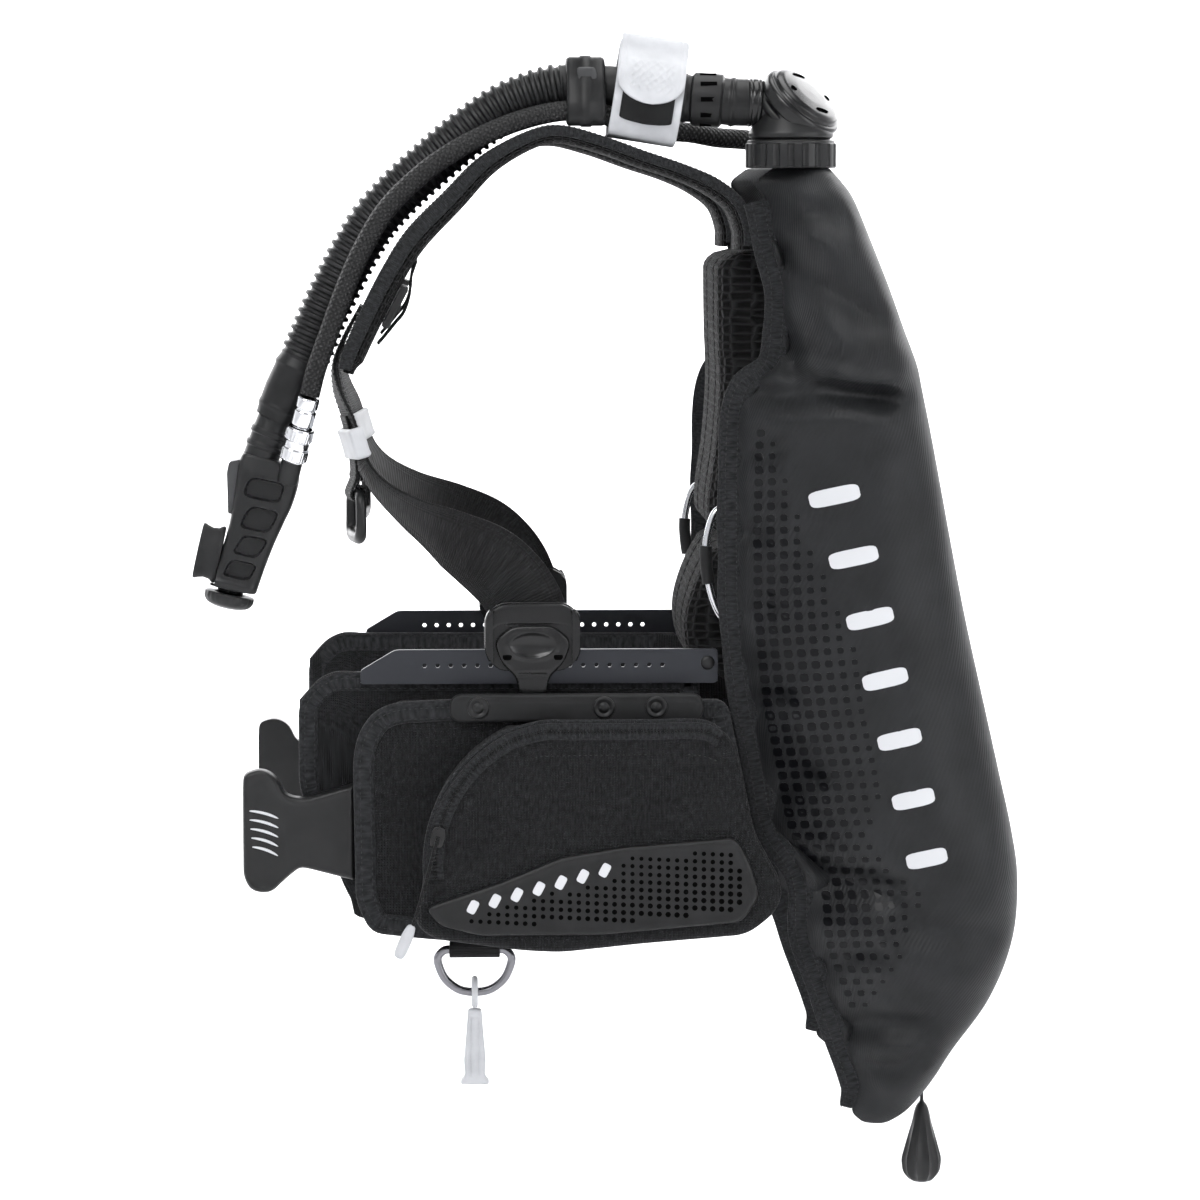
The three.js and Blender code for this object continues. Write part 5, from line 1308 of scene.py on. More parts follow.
def make_zips():
    """Tape, two rows of teeth and piping along the pocket's mouth; the slider and its pull stand at the front end."""
    tape = upright(zip_line(92.0), -188.9)
    first, _ = side_vectors(tangents(tape), (0.0, -1.0, 0.0))
    on_both_sides("zip_tape", swept(tape, np.cross(tangents(tape), first), 5.6, 0.7, 20, 5.0), binding)
    on_both_sides("zip_piping", tube(upright(zip_line(98.4), -186.6), 1.7, 12), binding)
    for side, sign in SIDES:
        rows = [(upright(zip_line(radius, 260), -189.9 * sign), (0, -sign, 0)) for radius in (91.2, 92.8)]
        stitches(f"zip_teeth_{side}", rows, gloss, pitch=2.2, length=1.5, thick=2.0)
    x, z = -236.99, -221.87
    turn = math.radians(-12.0)
    slider = np.array([(-4, -7), (4, -7), (5.0, -2), (5.0, 3), (3.4, 7), (-3.4, 7), (-5.0, 3), (-5.0, -2)])
    slider = slider @ np.array([[math.cos(turn), math.sin(turn)], [-math.sin(turn), math.cos(turn)]]) + [x, z]
    for side, sign in SIDES:
        body = "zip_slider" if side == "left" else "vest"
        made = slab(f"zip_slider_body_{side}", outline(slider, 1.6, 1.0), -189.6, -193.2, gloss, body,
                    ("zip_slider_left",) if side == "left" else (), edge=1.1, spacing=1.2,
                    place=(lambda p, s=sign: p * [1, s, 1]), crease=60)
        if sign < 0:
            made.data.flip_normals()
        pull_body = "zip_pull" if side == "left" else "vest"
        y = -194.4
        path = smooth_path([(x, y, z), (x - 5, y - 1.5, z - 18), (x - 10, y - 3, z - 37), (x - 15, y - 4.2, z - 53),
                            (x - 17.6, y - 4.2, z - 60)], 50)
        lofted(f"zip_cord_{side}", tube(path, 1.25, 12) * [1, sign, 1], webbing, pull_body,
               ("zip_pull_left",) if side == "left" else ())
        end = soft_profile([[0.4, -1], [2.6, 0], [3.6, 4], [4.2, 10], [4.0, 19], [3.2, 22.6], [0.4, 23.4]], 2.0)
        lofted(f"zip_cord_end_{side}", turned(end, (x - 17.3, y - 4.2, z - 58), (-0.4, 0, -0.9165), 28) * [1, sign, 1],
               light_rubber, pull_body, ())


def make_knife_plates():
    """A long rounded rubber plate with a groove just inside its edge, and three eyelets."""
    ring = outline([(-229, -130.9, 9), (-60, -130.9, 9), (-60, -149.5, 9), (-229, -149.5, 9)], 9, 2)

    def step(x, z, distance):
        return -0.9 * np.clip(1 - np.abs(distance - 3.2) / 1.0, 0, 1)

    slab("knife_plate", ring, -158.6, -165.0, matt_rubber, "vest", ("knife_mount_left",), edge=2.4,
         spacing=1.8, relief=step, crease=70)
    right = slab("knife_plate_right", ring, -158.6, -165.0, matt_rubber, "vest", (), edge=2.4,
                 spacing=1.8, relief=step, place=lambda p: p * [1, -1, 1], crease=70)
    right.data.flip_normals()
    dome = soft_profile([[7.4, -0.6], [7.4, 0.7], [6.2, 1.5], [4.6, 0.9], [3.6, 0.4], [3.3, 1.2], [1.6, 1.9],
                         [0.3, 2.0]], 0.7)
    rings = [turned(dome, (x, -164.8, -139.8), (0, -1, 0), 40) for x in (-209.8, -126.5, -91.8)]
    for side, sign in SIDES:
        joined(f"plate_eyelets_{side}", [r * [1, sign, 1] for r in rings], satin)


HANDLE = [(-367, -197, 4), (-366.5, -186, 4), (-355, -182.4, 7), (-345, -187, 6), (-339, -200, 6), (-328, -203, 12),
          (-292, -193, 2), (-292, -258.4, 2), (-322, -250.5, 12), (-329, -249, 8), (-339, -257, 7), (-349, -267, 7),
          (-362, -264.7, 5), (-367, -255, 5)]


def make_pouches():
    """A flat weight pocket, and a handle with five curved ridges that pulls it out forwards."""
    pouch = outline([(-292, -188.5), (-110, -188.5), (-110, -263.5), (-292, -263.5)], 10, 4)
    slab("weight_pocket", pouch, -133.2, -147.8, cordura, "weight_{}", ("weight_pouch_{}",), edge=4.5,
         spacing=5.0, both=True)

    def waist(x, z, distance):
        """The grip is dished between its raised edge and its raised head."""
        head = ramp(-338 - x, 14.0)
        stem = ramp(x + 334, 12.0)
        bead = 0.9 * bell(distance - 2.2, 1.2)
        return -1.6 * ramp(distance, 8.0) * head - 0.5 * stem + bead

    slab("pull_handle", outline(HANDLE, 4, 1.8), -134.2, -146.2, satin, "weight_{}", ("weight_handle_{}",),
         edge=3.6, spacing=1.8, relief=waist, both=True, crease=70)
    for side, sign in SIDES:
        ribs = []
        for k in range(5):
            t = np.linspace(0, 1, 26)
            x = -363.0 + (25 - 1.3 * k) * t + 0.6 * k
            z = -210.5 - 6.1 * k - 8.0 * t**2.2 - 0.6 * np.sin(t * math.pi)
            y = np.full(26, -144.95) + 0.25 * np.sin(t * math.pi)
            path = np.stack([x, y, z], axis=1)
            size = 1.0 * np.sin(np.clip(t, 0.04, 0.96) * math.pi) ** 0.35
            ribs.append(tube(path, size, 10) * [1, sign, 1])
        joined(f"handle_ribs_{side}", ribs, print_silver, f"weight_{side}", ())


# ------------------------------------------------------------------ ring, tab and clip under the pocket

def make_d_rings():
    """A D drawn in X and Z: a flat bar under the tab and a deep bow below it; the clip hangs from the bow."""
    x, y, z, w, d = -212.5, -145.0, -305.0, 25.0, 29.0
    bow = np.array([(0, 0), (w - 9, 0), (w - 4, -1), (w - 0.5, -5), (w - 1, -11), (w * 0.78, -d * 0.7),
                    (w * 0.42, -d * 0.94), (0, -d), (-w * 0.42, -d * 0.94), (-w * 0.78, -d * 0.7), (1 - w, -11),
                    (0.5 - w, -5), (4 - w, -1), (9 - w, 0), (0, 0)], float)
    flat = smooth_path(bow, 121)[:-1]
    ring = closed_tube(np.stack([x + flat[:, 0], np.full(120, y), z + flat[:, 1]], axis=1), 2.9, 20)
    t = full_turn(48)
    tab_ring = [np.stack([np.full(48, x + u), y + r * np.sign(np.cos(t)) * np.abs(np.cos(t)) ** 0.8,
                          z + r * np.sign(np.sin(t)) * np.abs(np.sin(t)) ** 0.8], axis=1)
                for u, r in ((-16.6, 3.5), (-17, 4.6), (-16.6, 5.5), (16.6, 5.5), (17, 4.6), (16.6, 3.5))]
    hold = np.array([(x, y + 0.2, z + 4), (x, y - 1.0, z + 9), (x, y - 3.5, z + 15)])
    hold = swept(smooth_path(hold, 16), (1.0, 0.0, 0.0), 16.8, 1.2, 24, 7.0)
    centre = z - d
    loop = closed_tube(np.stack([np.full(60, x), y + 8.9 * np.cos(full_turn(60)),
                                 centre + 8.9 * np.sin(full_turn(60))], axis=1), 2.1, 16)
    shank = [(x - 4.6, -345.5), (x + 4.6, -345.5), (x + 5.6, -360), (x + 7.4, -381), (x + 6.6, -391), (x + 9.5, -393.5),
             (x + 9.5, -397), (x - 9.5, -397), (x - 9.5, -393.5), (x - 6.6, -391), (x - 7.4, -381), (x - 5.6, -360)]

    def gate(px, pz, distance):
        """A long slot down the middle with a raised gate in it."""
        slot = (np.abs(px - x) < 2.6) & (pz < -352) & (pz > -390)
        return -1.2 * bell(np.abs(px - x) - 2.6, 0.7) * ((pz < -350) & (pz > -391)) + 0.4 * slot

    for side, sign in SIDES:
        left = side == "left"
        closed_piece(f"bow_ring_{side}", ring * [1, sign, 1], dark_metal, "d_ring" if left else "vest",
                     ("d_ring_left",) if left else ())
        closed_piece(f"ring_tab_{side}", np.array(tab_ring) * [1, sign, 1], webbing, "vest",
                     ("d_ring_tab_left",) if left else ())
        lofted(f"ring_tab_tail_{side}", hold * [1, sign, 1], webbing)
    closed_piece("clip_loop_left", loop, light_rubber, "clip", ("clip_left",))
    slab("clip_shank_left", outline(shank, 2.0, 1.2), -142.0, -148.0, light_rubber, "clip", (),
         edge=1.8, spacing=1.2, relief=gate, crease=60)


# ------------------------------------------------------------------ elbow, hoses, guide and strap

HOSE = np.array([
    (-28.6, -118, 259.9), (-37, -118, 260.1), (-53, -116.5, 261.5), (-72, -114, 263), (-93, -112, 265.8),
    (-115, -110, 268.3), (-137, -108.5, 269.8), (-155, -108, 268.8), (-174, -107, 263.7), (-194, -106, 254.8),
    (-215.5, -106, 239.8), (-238, -105.5, 221), (-259, -105, 202), (-277, -105, 182.5), (-290.5, -105, 161.5),
    (-301.5, -105, 141), (-311.5, -105, 120.5), (-320.5, -105, 100), (-333, -104.5, 73), (-339.5, -104.2, 60),
    (-344.9, -104, 48.5)])
PRESSURE_HOSE = np.array([
    (-320.9, -129.7, 66.2), (-316.2, -131.5, 84), (-307.6, -132, 108), (-298, -131.5, 134), (-286.5, -131, 160.5),
    (-269.5, -130.5, 189), (-247, -129.7, 211.5), (-227, -129.6, 226), (-207, -129.5, 237), (-187, -129.3, 245.6),
    (-166, -129, 251.8), (-146, -128.8, 254.4), (-127, -126.5, 252.5), (-108, -120.5, 245), (-88, -107, 241.3),
    (-67, -93, 240.3), (-46, -80, 237), (-25, -68, 235.5), (-5, -58, 231), (13, -50, 221), (27, -44.5, 205),
    (37, -41, 186), (42.5, -39.5, 165), (44.5, -39, 143), (44.5, -39, 121), (44.5, -39, 99), (44.5, -39, 76)])
CAP_MIDDLE, CAP_NORMAL = np.array([8.0, -120.0, 260.5]), unit(np.array([0.58, -0.40, 0.71]))


def make_elbow():
    """A knurled ring, a rounded tower, a sloping cap with four ports in it, painted on as near-black insets of shade,
    and a pipe out to the hose.
    """

    def knurl(profile, angle):
        """Twenty broad teeth round the grip, squared off by a steep tanh, only between the two plain rims."""
        wave = np.tanh(4.5 * (np.sin(20 * angle) + 0.45)) * 0.5 + 0.5
        grip = ((profile[:, 1] > 217.4) & (profile[:, 1] < 232.6))[:, None]
        return 1.0 - 0.05 * (1.0 - wave)[None, :] * grip

    ring = soft_profile([[26.6, 216.4], [29.8, 216.4], [30.5, 217.5], [30.5, 218.0], [30.5, 225], [30.5, 232.4],
                         [29.2, 233], [29.2, 234.4], [28.2, 235.0], [26.6, 235.0]], 0.5)
    grid = turned(ring, (0, -120, 0), UP, 240, flute=knurl)
    closed_piece("lock_ring_grip", grid, satin, "lock_ring", ("elbow_lock_ring",), 40)
    tower = soft_profile([[26.1, 216.6], [26.1, 236], [28.2, 236.6], [28.4, 239.5], [24.8, 246], [20.0, 255], [12, 262],
                          [1, 265]], 3.0, 6)
    seat = soft_profile([[24.5, -34], [26.5, -22], [28.6, -13], [28.8, -9.4], [25, -8.6], [1, -8.6]], 2.5, 6)
    seat[:, 0] *= np.interp(seat[:, 1], [-34, -13], [0.35, 1.0])
    pipe = smooth_path([(-27.0, -118, 259.8), (-20, -118, 259.4), (-10, -118.6, 257.0), (0, -119.4, 253)], 40)
    shoulder = [turned(tower, (0, -120, 0), UP, 72), turned(seat, CAP_MIDDLE, CAP_NORMAL, 72),
                tube(pipe, 14.2 + 3.0 * np.linspace(0, 1, 40) ** 2, 48)]
    joined("elbow_shoulder", shoulder, satin, "vest", ("elbow_body",), 55)
    clamp_path = smooth_path([(-29.2, -118, 259.95), (-24, -118, 259.7), (-19.5, -118, 259.4)], 14)
    rise = np.array([0.0, 1.2, 1.6, 1.6, 1.2, 1.6, 1.6, 1.6, 1.6, 1.2, 1.6, 1.6, 1.2, 0.0])
    lofted("elbow_clamp", tube(clamp_path, 14.5 + rise, 48), gloss)
    cap = soft_profile([[1.0, -8.0], [27.6, -8.0], [29.4, -6.6], [29.5, 0.5], [28.0, 2.2], [26.6, 2.4], [26.0, 3.2],
                        [25.4, 5.4], [22.0, 7.4], [12, 8.6], [1.0, 8.9]], 1.6, 6)
    lofted("elbow_top", turned(cap, CAP_MIDDLE, CAP_NORMAL, 96), gloss, "vest", ("elbow_cap",), 60)
    # The four ports are flat near-black plates set into the cap: painted shade where the ports would be open.
    holes = []
    first, second = side_vectors(CAP_NORMAL[None], (-1.0, -0.4, 0.3))
    first, second = first[0], second[0]
    port_circle, turns = 17, full_turn(24)
    rim = oval(turns, 0.7)[0]
    for angle, long, wide in ((20, 2.2, 2.2), (200, 2.2, 2.2), (110, 6.0, 1.7), (290, 6.0, 1.7)):
        a = math.radians(angle)
        out = math.cos(a) * first + math.sin(a) * second
        side = -math.sin(a) * first + math.cos(a) * second
        holes.append(np.array([CAP_MIDDLE + CAP_NORMAL * height + out * port_circle + side * (rim * long)[:, None]
                               + out * (np.sin(turns) * wide)[:, None] for height in (6.4, 8.35)]))
    joined("cap_port_shade", holes, painted_shade_black)


def make_corrugated_hose():
    """A tube whose radius steps in and out: ribs every 6.1 mm once it leaves the guide, smooth cuffs at both ends."""
    path = smooth_path(HOSE, 1500)
    s = path_length(path)
    x = path[:, 0]
    rib = 0.5 + 0.5 * np.tanh(2.4 * np.sin(2 * math.pi * s / 6.1)) / np.tanh(2.4)
    left = s[-1] - s
    ribbed = ramp(-151 - x, 3.0) * ramp(left - 44, 4.0)
    radius = (1 - ribbed) * 15.6 + ribbed * (14.7 + 2.4 * rib)
    cuff = ramp(-45 - x, 1.5) * ramp(x + 66, 1.5)
    radius += 2.1 * cuff
    bands = bell(x + 74, 1.4) + bell(x + 70.5, 1.2) + bell(x + 39, 1.5)
    radius += 0.9 * np.clip(bands, 0, 1)
    lower = ramp(44 - left, 4.0)
    radius = radius + lower * (0.9 - 2.6 * ramp(20 - left, 20.0))
    radius += lower * 0.7 * (bell(left - 38, 1.6) + bell(left - 8, 1.8))
    radius = radius * np.clip(s / 2.0 + 0.86, 0, 1)
    piece = lofted("breathing_hose", tube(path, radius, 36), rubber, "vest", ("corrugated_hose",), 50)
    # Ten slots round the cuff, each a thin near-black plate: painted shade where the slots would be open.
    slots = []
    centre = np.array([-55.5, -116.3, 261.7])
    for a in full_turn(10):
        out = np.array([0.0, math.cos(a), math.sin(a)])
        side = np.array([0.0, -math.sin(a), math.cos(a)])
        rows = [[centre + out * r + np.array([u, 0, 0]) + side * v for u, v in
                 ((-5.5, -1.5), (5.5, -1.5), (5.5, 1.5), (-5.5, 1.5))] for r in (16.6, 17.95)]
        slots.append(np.array(rows))
    joined("cuff_slot_shade", slots, painted_shade_black)


def make_pressure_hose():
    """A braided tube along its route, from the coupling round the neck to a six-sided fitting."""
    path = smooth_path(PRESSURE_HOSE, 420)
    hose = lofted("pressure_hose", tube(path, 6.7, 28), braid, "vest", ("lp_hose",), 60)
    fitting = soft_profile([[1, 0], [6.9, 0], [6.9, 9], [8.8, 9.4], [8.8, 22], [4.7, 23], [4.7, 36], [1, 36]], 0.6)

    def hexagon(profile, angle):
        """Six flats on the broad part: the ratio of a hexagon's edge to its circle at each angle."""
        flat = np.cos(math.pi / 6) / np.cos((angle % (math.pi / 3)) - math.pi / 6)
        broad = ((profile[:, 1] > 9.2) & (profile[:, 1] < 22.4))[:, None]
        return np.where(broad, flat[None, :], 1.0)

    end = lofted("hose_fitting", turned(fitting, (44.5, -39, 75.7), (0, 0, -1), 72, flute=hexagon), chrome, "vest",
                 ("lp_hose_fitting",), 35)


def polar_ring(corners, centre, count, grow=0.0):
    """An outline in Y and Z read at even angles about a centre."""
    ring = outline(corners, 5.0, 0.8) - centre
    angle = np.arctan2(ring[:, 1], ring[:, 0])
    radius = np.linalg.norm(ring, axis=1)
    order = np.argsort(angle)
    even = np.linspace(-math.pi, math.pi, count, endpoint=False)
    r = np.interp(even, angle[order], radius[order], period=2 * math.pi) + grow
    return np.stack([centre[0] + r * np.cos(even), centre[1] + r * np.sin(even)], axis=1)


def make_hose_guide():
    """Two joined rubber lobes, rounded at both ends, with a raised band round the middle."""
    shape = [(-88, 260.8), (-88, 278.8), (-99.5, 290.3), (-117.5, 290.3), (-129.5, 276.8), (-138.4, 258.9),
             (-138.4, 248.9), (-132.4, 243.9), (-120.4, 244.4), (-99.5, 249.3)]
    centre = np.array([-111.5, 266.0])
    rows = []
    for x, grow in ((-150, -9.0), (-150, -2.4), (-149.2, -0.8), (-147.5, -0.1), (-141, -0.1), (-140.4, 0.8),
                    (-133.6, 0.8), (-133, -0.1), (-126.5, -0.1), (-124.8, -0.8), (-124, -2.4), (-124, -9.0)):
        ring = polar_ring(shape, centre, 96, grow)
        rows.append(np.stack([np.full(96, float(x)), ring[:, 0], ring[:, 1]], axis=1))
    lofted("hose_clamp_guide", np.array(rows), rubber, "vest", ("hose_guide",), 60)
    slab("guide_tab", outline([(-143, 283), (-131, 283), (-129, 276), (-133, 272), (-142, 272)], 2, 1.2),
         -126.5, -130.0, mid_grey, "vest", (), edge=1.0, spacing=1.5)


STRAP_OUTER = [(-87, 262), (-91, 280), (-100, 290), (-104, 299), (-114, 299.5), (-119, 290), (-131, 280.5),
               (-138.5, 263), (-138.5, 246), (-130.5, 235.6), (-113.5, 233.3), (-93, 233.3), (-86.6, 241)]


def lean(points, centre_x=-96.0, degrees=9.0, height=262.0):
    """Points given by their distance along the strap, Y and Z, leant about Y at a height."""
    a = math.radians(degrees)
    u, z = points[..., 0], points[..., 2] - height
    return np.stack([centre_x + u * math.cos(a) + z * math.sin(a), points[..., 1],
                     height - u * math.sin(a) + z * math.cos(a)], axis=-1)


def make_hose_strap():
    """A white band wrapped round both hoses, a tongue laid over its front and a black pad under the tongue."""
    centre = np.array([-112.0, 262.0])
    rows = []
    for u, grow in ((-22.4, -2.3), (-23, -1.1), (-22.4, 0), (0, 0), (22.4, 0), (23, -1.1), (22.4, -2.3), (0, -2.3)):
        ring = polar_ring(STRAP_OUTER, centre, 120, grow)
        rows.append(np.stack([np.full(120, float(u)), ring[:, 0], ring[:, 1]], axis=1))
    closed_piece("strap_band", lean(np.array(rows)), light_rubber, "vest", ("hose_strap",), 40)

    def over_front(name, half, start, stop, lift, thick, material, emboss=None, taper=14.0):
        """A plate bent over the band along its outline, from one share of the way down it to another."""
        line = smooth_path([(-106, 300.6), (-115.5, 300.4), (-121.5, 291.4), (-132.6, 281.6), (-136.8, 273),
                            (-139.6, 264), (-140.4, 254), (-140.2, 246), (-137, 240.5)], 120)
        share = np.linspace(start, stop, 60)
        at = share * (len(line) - 1)
        y = np.interp(at, np.arange(120), line[:, 0])
        z = np.interp(at, np.arange(120), line[:, 1])
        yz = np.stack([y, z], axis=1)
        direction = tangents(yz)
        normal = np.stack([direction[:, 1], -direction[:, 0]], axis=1)
        if normal[30, 0] > 0:
            normal = -normal
        from_end = path_length(yz)[-1] - path_length(yz)
        from_start = path_length(yz)
        rounding = np.minimum(np.clip(from_end / taper, 0, 1), ramp(from_start, 3.0))
        width = half * np.sqrt(np.clip(1 - (1 - rounding) ** 2, 0.02, 1))
        v = np.linspace(-1, 1, 64)
        uu = width[:, None] * v[None, :]
        height = lift + thick / 2 * np.sqrt(np.clip(1 - np.abs(v) ** 10, 0.0, 1))[None, :] * np.ones((60, 1))
        if emboss is not None:
            height = height + emboss(uu, from_end[:, None])
        outer = np.stack([uu, y[:, None] + normal[:, :1] * height, z[:, None] + normal[:, 1:] * height], axis=-1)
        low = np.full_like(uu, lift) - thick / 2
        under = np.stack([uu, y[:, None] + normal[:, :1] * low, z[:, None] + normal[:, 1:] * low], axis=-1)
        ring = np.concatenate([outer, under[:, ::-1]], axis=1)
        return lofted(name, lean(ring), material, "vest", (), 50)

    def diamonds(u, up):
        """A crossed grid of fine ridges inside a plain border, and a stitched groove near the edge."""
        grid = np.maximum(np.abs(np.sin((u + up) / 5.6 * math.pi)), np.abs(np.sin((u - up) / 5.6 * math.pi)))
        field = ramp(up - 7, 2) * ramp(30 - up, 2) * ramp(15.5 - np.abs(u), 2)
        groove = bell(np.abs(u) - 18.6, 0.7) * ramp(up - 5, 2)
        return 0.8 * field * ramp(grid - 0.86, 0.14) - 0.5 * groove

    over_front("strap_hook_pad", 17.5, 0.5, 0.93, -0.1, 2.0, hook_tape, taper=3.0)
    over_front("strap_tongue", 22.5, 0.0, 0.76, 1.7, 2.2, light_rubber, diamonds, 16.0)


# ------------------------------------------------------------------ power inflator

NECK = np.array([-354.2, -104.0, 24.0])
DOWN = unit(np.array([-0.2205, 0.0, -0.9754]))
FRONT = unit(np.array([-0.9754, 0.0, 0.2205]))
OUTSIDE = np.array([0.0, -1.0, 0.0])
BULK = np.array([[0, 12.6, -12.6, 12.6], [6.5, 14, -26, 14], [13, 13.6, -28.4, 15], [28, 12.4, -27.3, 15],
                 [40, 11.6, -24.6, 15], [56, 11.6, -21.2, 15], [73, 13.4, -18.5, 15], [91.5, 17, -16.3, 15.5]])
COUPLING, COUPLING_DOWN = np.array([-321.1, -129.5, 65.5]), unit(np.array([-0.2567, 0.2334, -0.9379]))


def on_inflator(a, b, c):
    """From the inflator's own directions, front, outside and down, to the vest's."""
    a, b, c = np.broadcast_arrays(a, b, c)
    return NECK + a[..., None] * FRONT + b[..., None] * OUTSIDE + c[..., None] * DOWN


def make_inflator():
    """A superellipse casing with four hollows in each face, and the neck, caps and couplings on it."""
    c = np.concatenate([[0.0, 0.3], np.linspace(1.2, 90.4, 150), [91.2, 91.5]])
    rows = smooth_path(BULK, 300)
    front, rear, half = (np.interp(c, rows[:, 0], rows[:, k]) for k in (1, 2, 3))
    shrink = np.ones(len(c))
    shrink[[0, 1, -2, -1]] = [0.9, 0.97, 0.97, 0.9]
    u, v = rounded_section(160, 4.6)
    a = (front + rear)[:, None] / 2 + (front - rear)[:, None] / 2 * shrink[:, None] * u[None, :]
    b = half[:, None] * shrink[:, None] * v[None, :]
    depth = np.zeros_like(a)
    for ca, cc, wa, wc, skew in ((-7, 21, 11.5, 6.5, 0.15), (-8, 41, 9.5, 7.5, 0.3), (-6, 60, 8.0, 6.5, 0.4),
                                 (-2.5, 77, 8.5, 5.5, 0.3)):
        shift = (a - ca) - skew * (c[:, None] - cc)
        window = np.clip(1.35 - ((np.abs(shift) / wa) ** 4 + (np.abs(c[:, None] - cc) / wc) ** 4), 0, 0.35) / 0.35
        depth = np.maximum(depth, 6.0 * window)
    b = b - np.sign(b) * depth * np.clip(np.abs(v)[None, :] * 3 - 2, 0, 1)
    seat = (a > 12.2) & (c[:, None] > 50)
    a = np.where(seat, np.minimum(a, 12.2), a)
    lip = bell(c - 87.5, 1.6)[:, None]
    b = b * (1 + 0.04 * lip)
    casing = on_inflator(a, b, np.broadcast_to(c[:, None], a.shape))
    neck = soft_profile([[11, -4], [12.2, -3], [12.2, 5], [13.4, 5.6], [13.4, 8.6], [12.4, 9.2], [12.4, 14],
                         [13.6, 14.6], [13.6, 18.2], [12.4, 18.8], [12.2, 26], [11, 27.6]], 0.7)
    neck_grid = turned(neck, NECK, (0.36, 0, 0.933), 48)
    nipple = turned(soft_profile([[1, 30.2], [5.0, 30.2], [5.0, 44], [7.2, 46.8], [7.4, 62], [1, 63]], 0.8), COUPLING,
                    COUPLING_DOWN, 32)
    joined("inflator_casing", [casing, neck_grid, nipple], satin, "vest", ("inflator_body",), 45)
    dress(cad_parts["inflate_button"], mid_grey)
    make_mouthpiece()
    lid = soft_profile([[1, 98.6], [10, 98.6], [10, 95], [16.2, 95], [17.0, 95.8], [17.0, 99.4], [14.4, 103],
                        [9, 104.8], [1, 105.5]], 1.6, 6)

    def finger(profile, angle):
        rim = ((profile[:, 1] > 95.6) & (profile[:, 1] < 100.5))[:, None]
        return 1.0 - 0.02 * (0.5 + 0.5 * np.sin(24 * angle))[None, :] * rim

    lofted("deflate_cap", turned(lid, on_inflator(1.0, 0.0, 0.0), DOWN, 144, flute=finger), satin, "deflate_button",
           ("deflate_button",), 50)
    stem = soft_profile([[1, 90.6], [14.6, 90.6], [15.4, 91.2], [15.2, 91.8], [9, 91.8], [8.6, 94.9], [1, 94.9]], 0.3)
    lofted("deflate_neck", turned(stem, on_inflator(1.0, 0.0, 0.0), DOWN, 64), gloss)
    ferrule = soft_profile([[1, 0.6], [6.6, 0.6], [7.5, 1.6], [7.5, 8], [6.7, 8.6], [6.7, 10.2], [7.5, 10.8],
                            [7.5, 20.4], [6.6, 21.2], [6.6, 29.6], [1, 30]], 0.5)
    lofted("chrome_ferrule", turned(ferrule, COUPLING, COUPLING_DOWN, 56), chrome, "vest", ("lp_hose_ferrule",),
           40)

    def grip(profile, angle):
        """Fine knurling on the collar's two raised bands."""
        down = profile[:, 1, None]
        bands = ((down > 24.4) & (down < 30.6)) | ((down > 38) & (down < 44.6))
        return 1.0 - 0.05 * (np.sin(26 * angle) > 0)[None, :] * bands

    collar = soft_profile([[7.9, 22.6], [8.6, 22.6], [9.5, 23.8], [9.5, 31], [8.4, 31.8], [8.4, 36.6], [9.4, 37.4],
                           [9.4, 45], [8.2, 46.4], [5.8, 46.4], [5.8, 34.2], [7.9, 34.2]], 0.5)
    closed_piece("release_sleeve", turned(collar, COUPLING, COUPLING_DOWN, 156, flute=grip), chrome, "release_collar",
                 ("quick_release_collar",), 40)


def make_mouthpiece():
    """An oval rubber spout: a wall, a soft outward lip and a hollow with a bite ridge."""
    t = full_turn(72)
    rows = []
    for a, scale in ((12.6, 1.0), (14, 1.03), (15.5, 1.0), (17, 0.93), (21, 0.9), (24.6, 0.95), (26.6, 1.0), (28, 0.98),
                     (28.2, 0.9), (27.4, 0.8), (24, 0.7), (18, 0.64), (16, 0.6), (15.6, 0.3), (15.6, 0.02)):
        rows.append(on_inflator(a, 12.5 * scale * np.sin(t), 71 + 19 * scale * np.cos(t)))
    rows.insert(0, on_inflator(12.6, 0.02 * np.sin(t), 71 + 0.02 * np.cos(t)))
    lofted("spout", np.array(rows), matt_rubber, "vest", ("mouthpiece",), 60)


# ------------------------------------------------------------------ lower dump valve and side loops

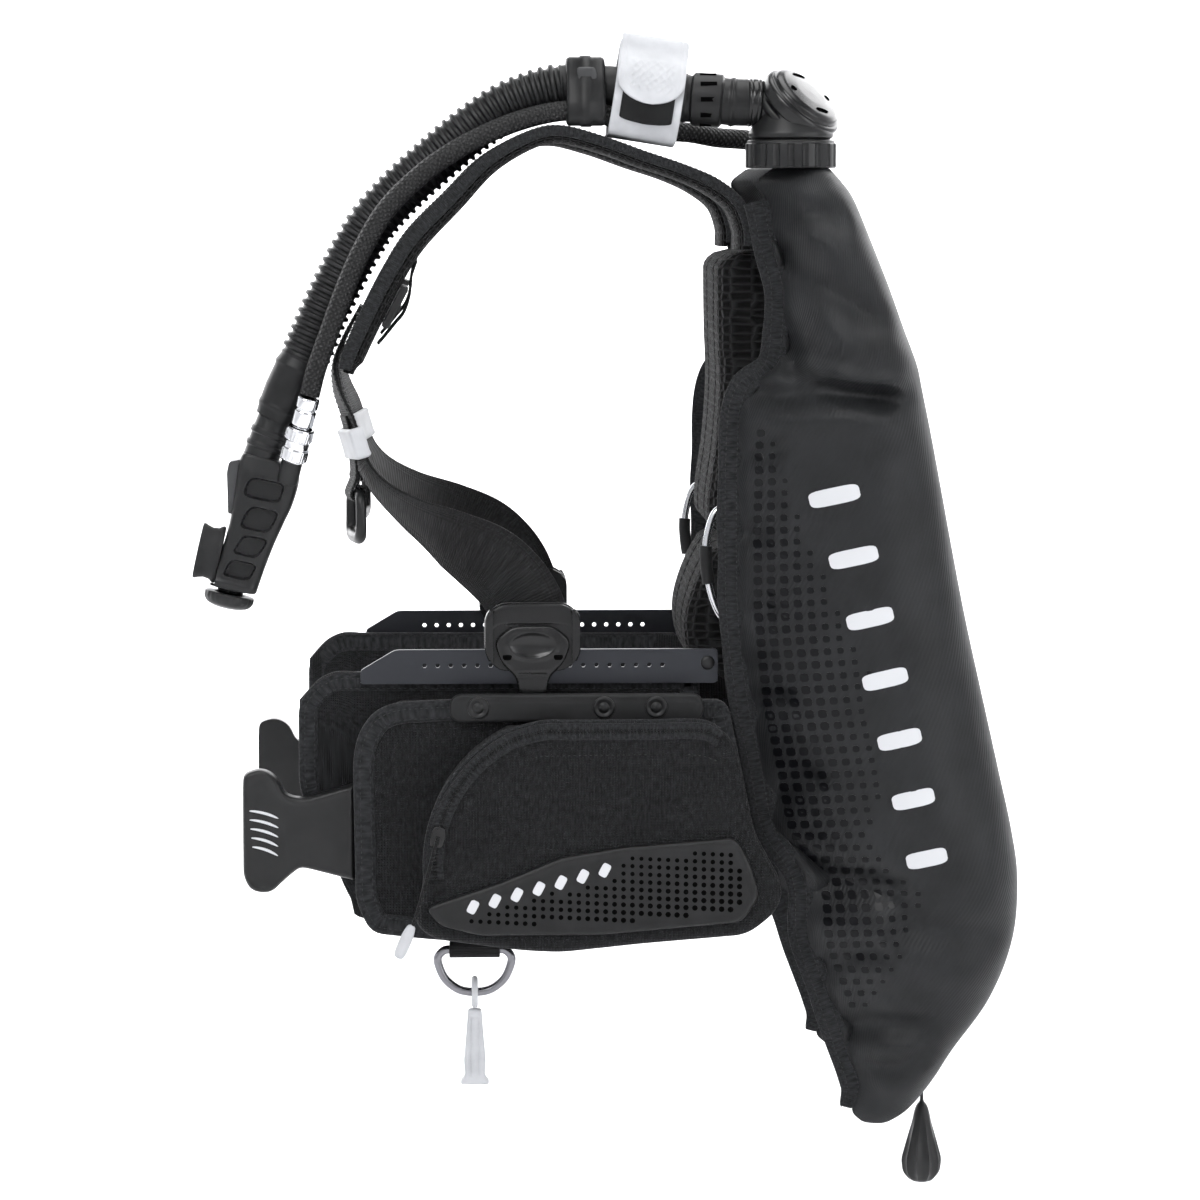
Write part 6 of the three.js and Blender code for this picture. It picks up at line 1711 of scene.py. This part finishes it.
def make_dump_valve():
    """A fluted disc and boss under the lobe, and a pear-shaped toggle on its cord."""
    disc = soft_profile([[1, 0], [22.4, 0], [23, 1], [23, 9.5], [19.5, 12.6], [12, 13], [1, 13]], 1.4, 6)

    def ribs(profile, angle):
        return 1.0 - 0.03 * (np.sin(18 * angle) > 0.2)[None, :] * (profile[:, 1] > 0.5)[:, None]

    boss = turned([[0.5, 0], [4.5, 0], [4.2, 15.5], [0.5, 16]], (94, -104, -386), (0, 0, -1), 32)
    joined("dump_housing", [turned(disc, (85, -112, -372), (0, 1, 0), 96, flute=ribs), boss], satin, "vest",
           ("dump_valve",))
    pull = soft_profile([[0.3, 0], [1.2, 0], [1.2, 31], [3.6, 33.4], [5.2, 38], [6.6, 45], [10.6, 59], [13.9, 71],
                         [12.8, 80], [8, 86], [0.5, 87.4]], 3.0, 6)

    def flutes(profile, angle):
        """Ten scallops that open from the neck of the bulb to its widest ring."""
        deep = ramp(profile[:, 1] - 40, 20) * ramp(88 - profile[:, 1], 6)
        return 1.0 - 0.16 * deep[:, None] * np.abs(np.cos(5 * angle))[None, :] ** 0.8

    lofted("dump_toggle", turned(pull, (94, -104, -388.8), (0, 0, -1), 120, flute=flutes), satin, "dump_pull",
           ("dump_pull",), 60)


def make_side_loops():
    """A bent steel rod from the plate on each side, with a rubber sleeve on its upright part."""
    path = smooth_path([(-10, -90.3, -14), (-10, -93, -14), (-14, -99, -13), (-22, -106, -11), (-36, -114, -10),
                        (-49, -119, -13), (-55, -120, -29), (-56, -120, -46), (-53, -120, -66), (-46, -118, -83),
                        (-34, -113, -91), (-21, -106, -92), (-14, -99, -90), (-10, -93, -88.5),
                        (-10, -90.3, -88.5)], 160)
    on_both_sides("steel_loop", tube(path, 2.6, 20, (0.3, 0.2, 1.0)), bright_rod, replaces=("side_loop_{}",))
    on = (path[:, 2] < -36) & (path[:, 2] > -62) & (path[:, 0] < -50)
    on_both_sides("loop_sleeve", tube(path[on], 4.2, 24), matt_rubber)


# ------------------------------------------------------------------ the whole vest

add_camera()
make_corrugated_hose()
make_pressure_hose()
for light in (("key", (-1.3, -2.3, 2.4), (1.6, 1.4), 60.0), ("fill", (2.4, -2.0, 0.9), (1.4, 2.2), 26.0),
              ("top", (0.2, 0.1, 2.6), (2.4, 1.6), 44.0), ("rim", (1.8, 2.0, 1.4), (1.8, 1.8), 30.0),
              ("back", (-1.8, 2.2, 1.0), (1.8, 1.8), 24.0)):
    add_light(*light)
add_light("wall", (0.0, 3.2, 4.2), (5.0, 2.0), 620.0, (0.0, 7.4, 1.0))
world = bpy.data.worlds.new("studio")
bpy.context.scene.world = world
world.use_nodes = True
world.node_tree.nodes["Background"].inputs["Color"].default_value = (0.93, 0.94, 0.96, 1.0)
world.node_tree.nodes["Background"].inputs["Strength"].default_value = 0.36
bpy.context.scene.view_settings.view_transform = "Standard"
bpy.context.scene.view_settings.look = "None"
add_backdrop()

make_air_cell()
make_seam_tape()
make_back_unit()
make_shoulder_straps()
make_pull_rings()
make_rails()
make_buckles()
make_panels()
make_pockets()
make_pouches()
make_d_rings()
make_elbow()
make_hose_guide()
make_hose_strap()
make_inflator()
make_dump_valve()
make_side_loops()
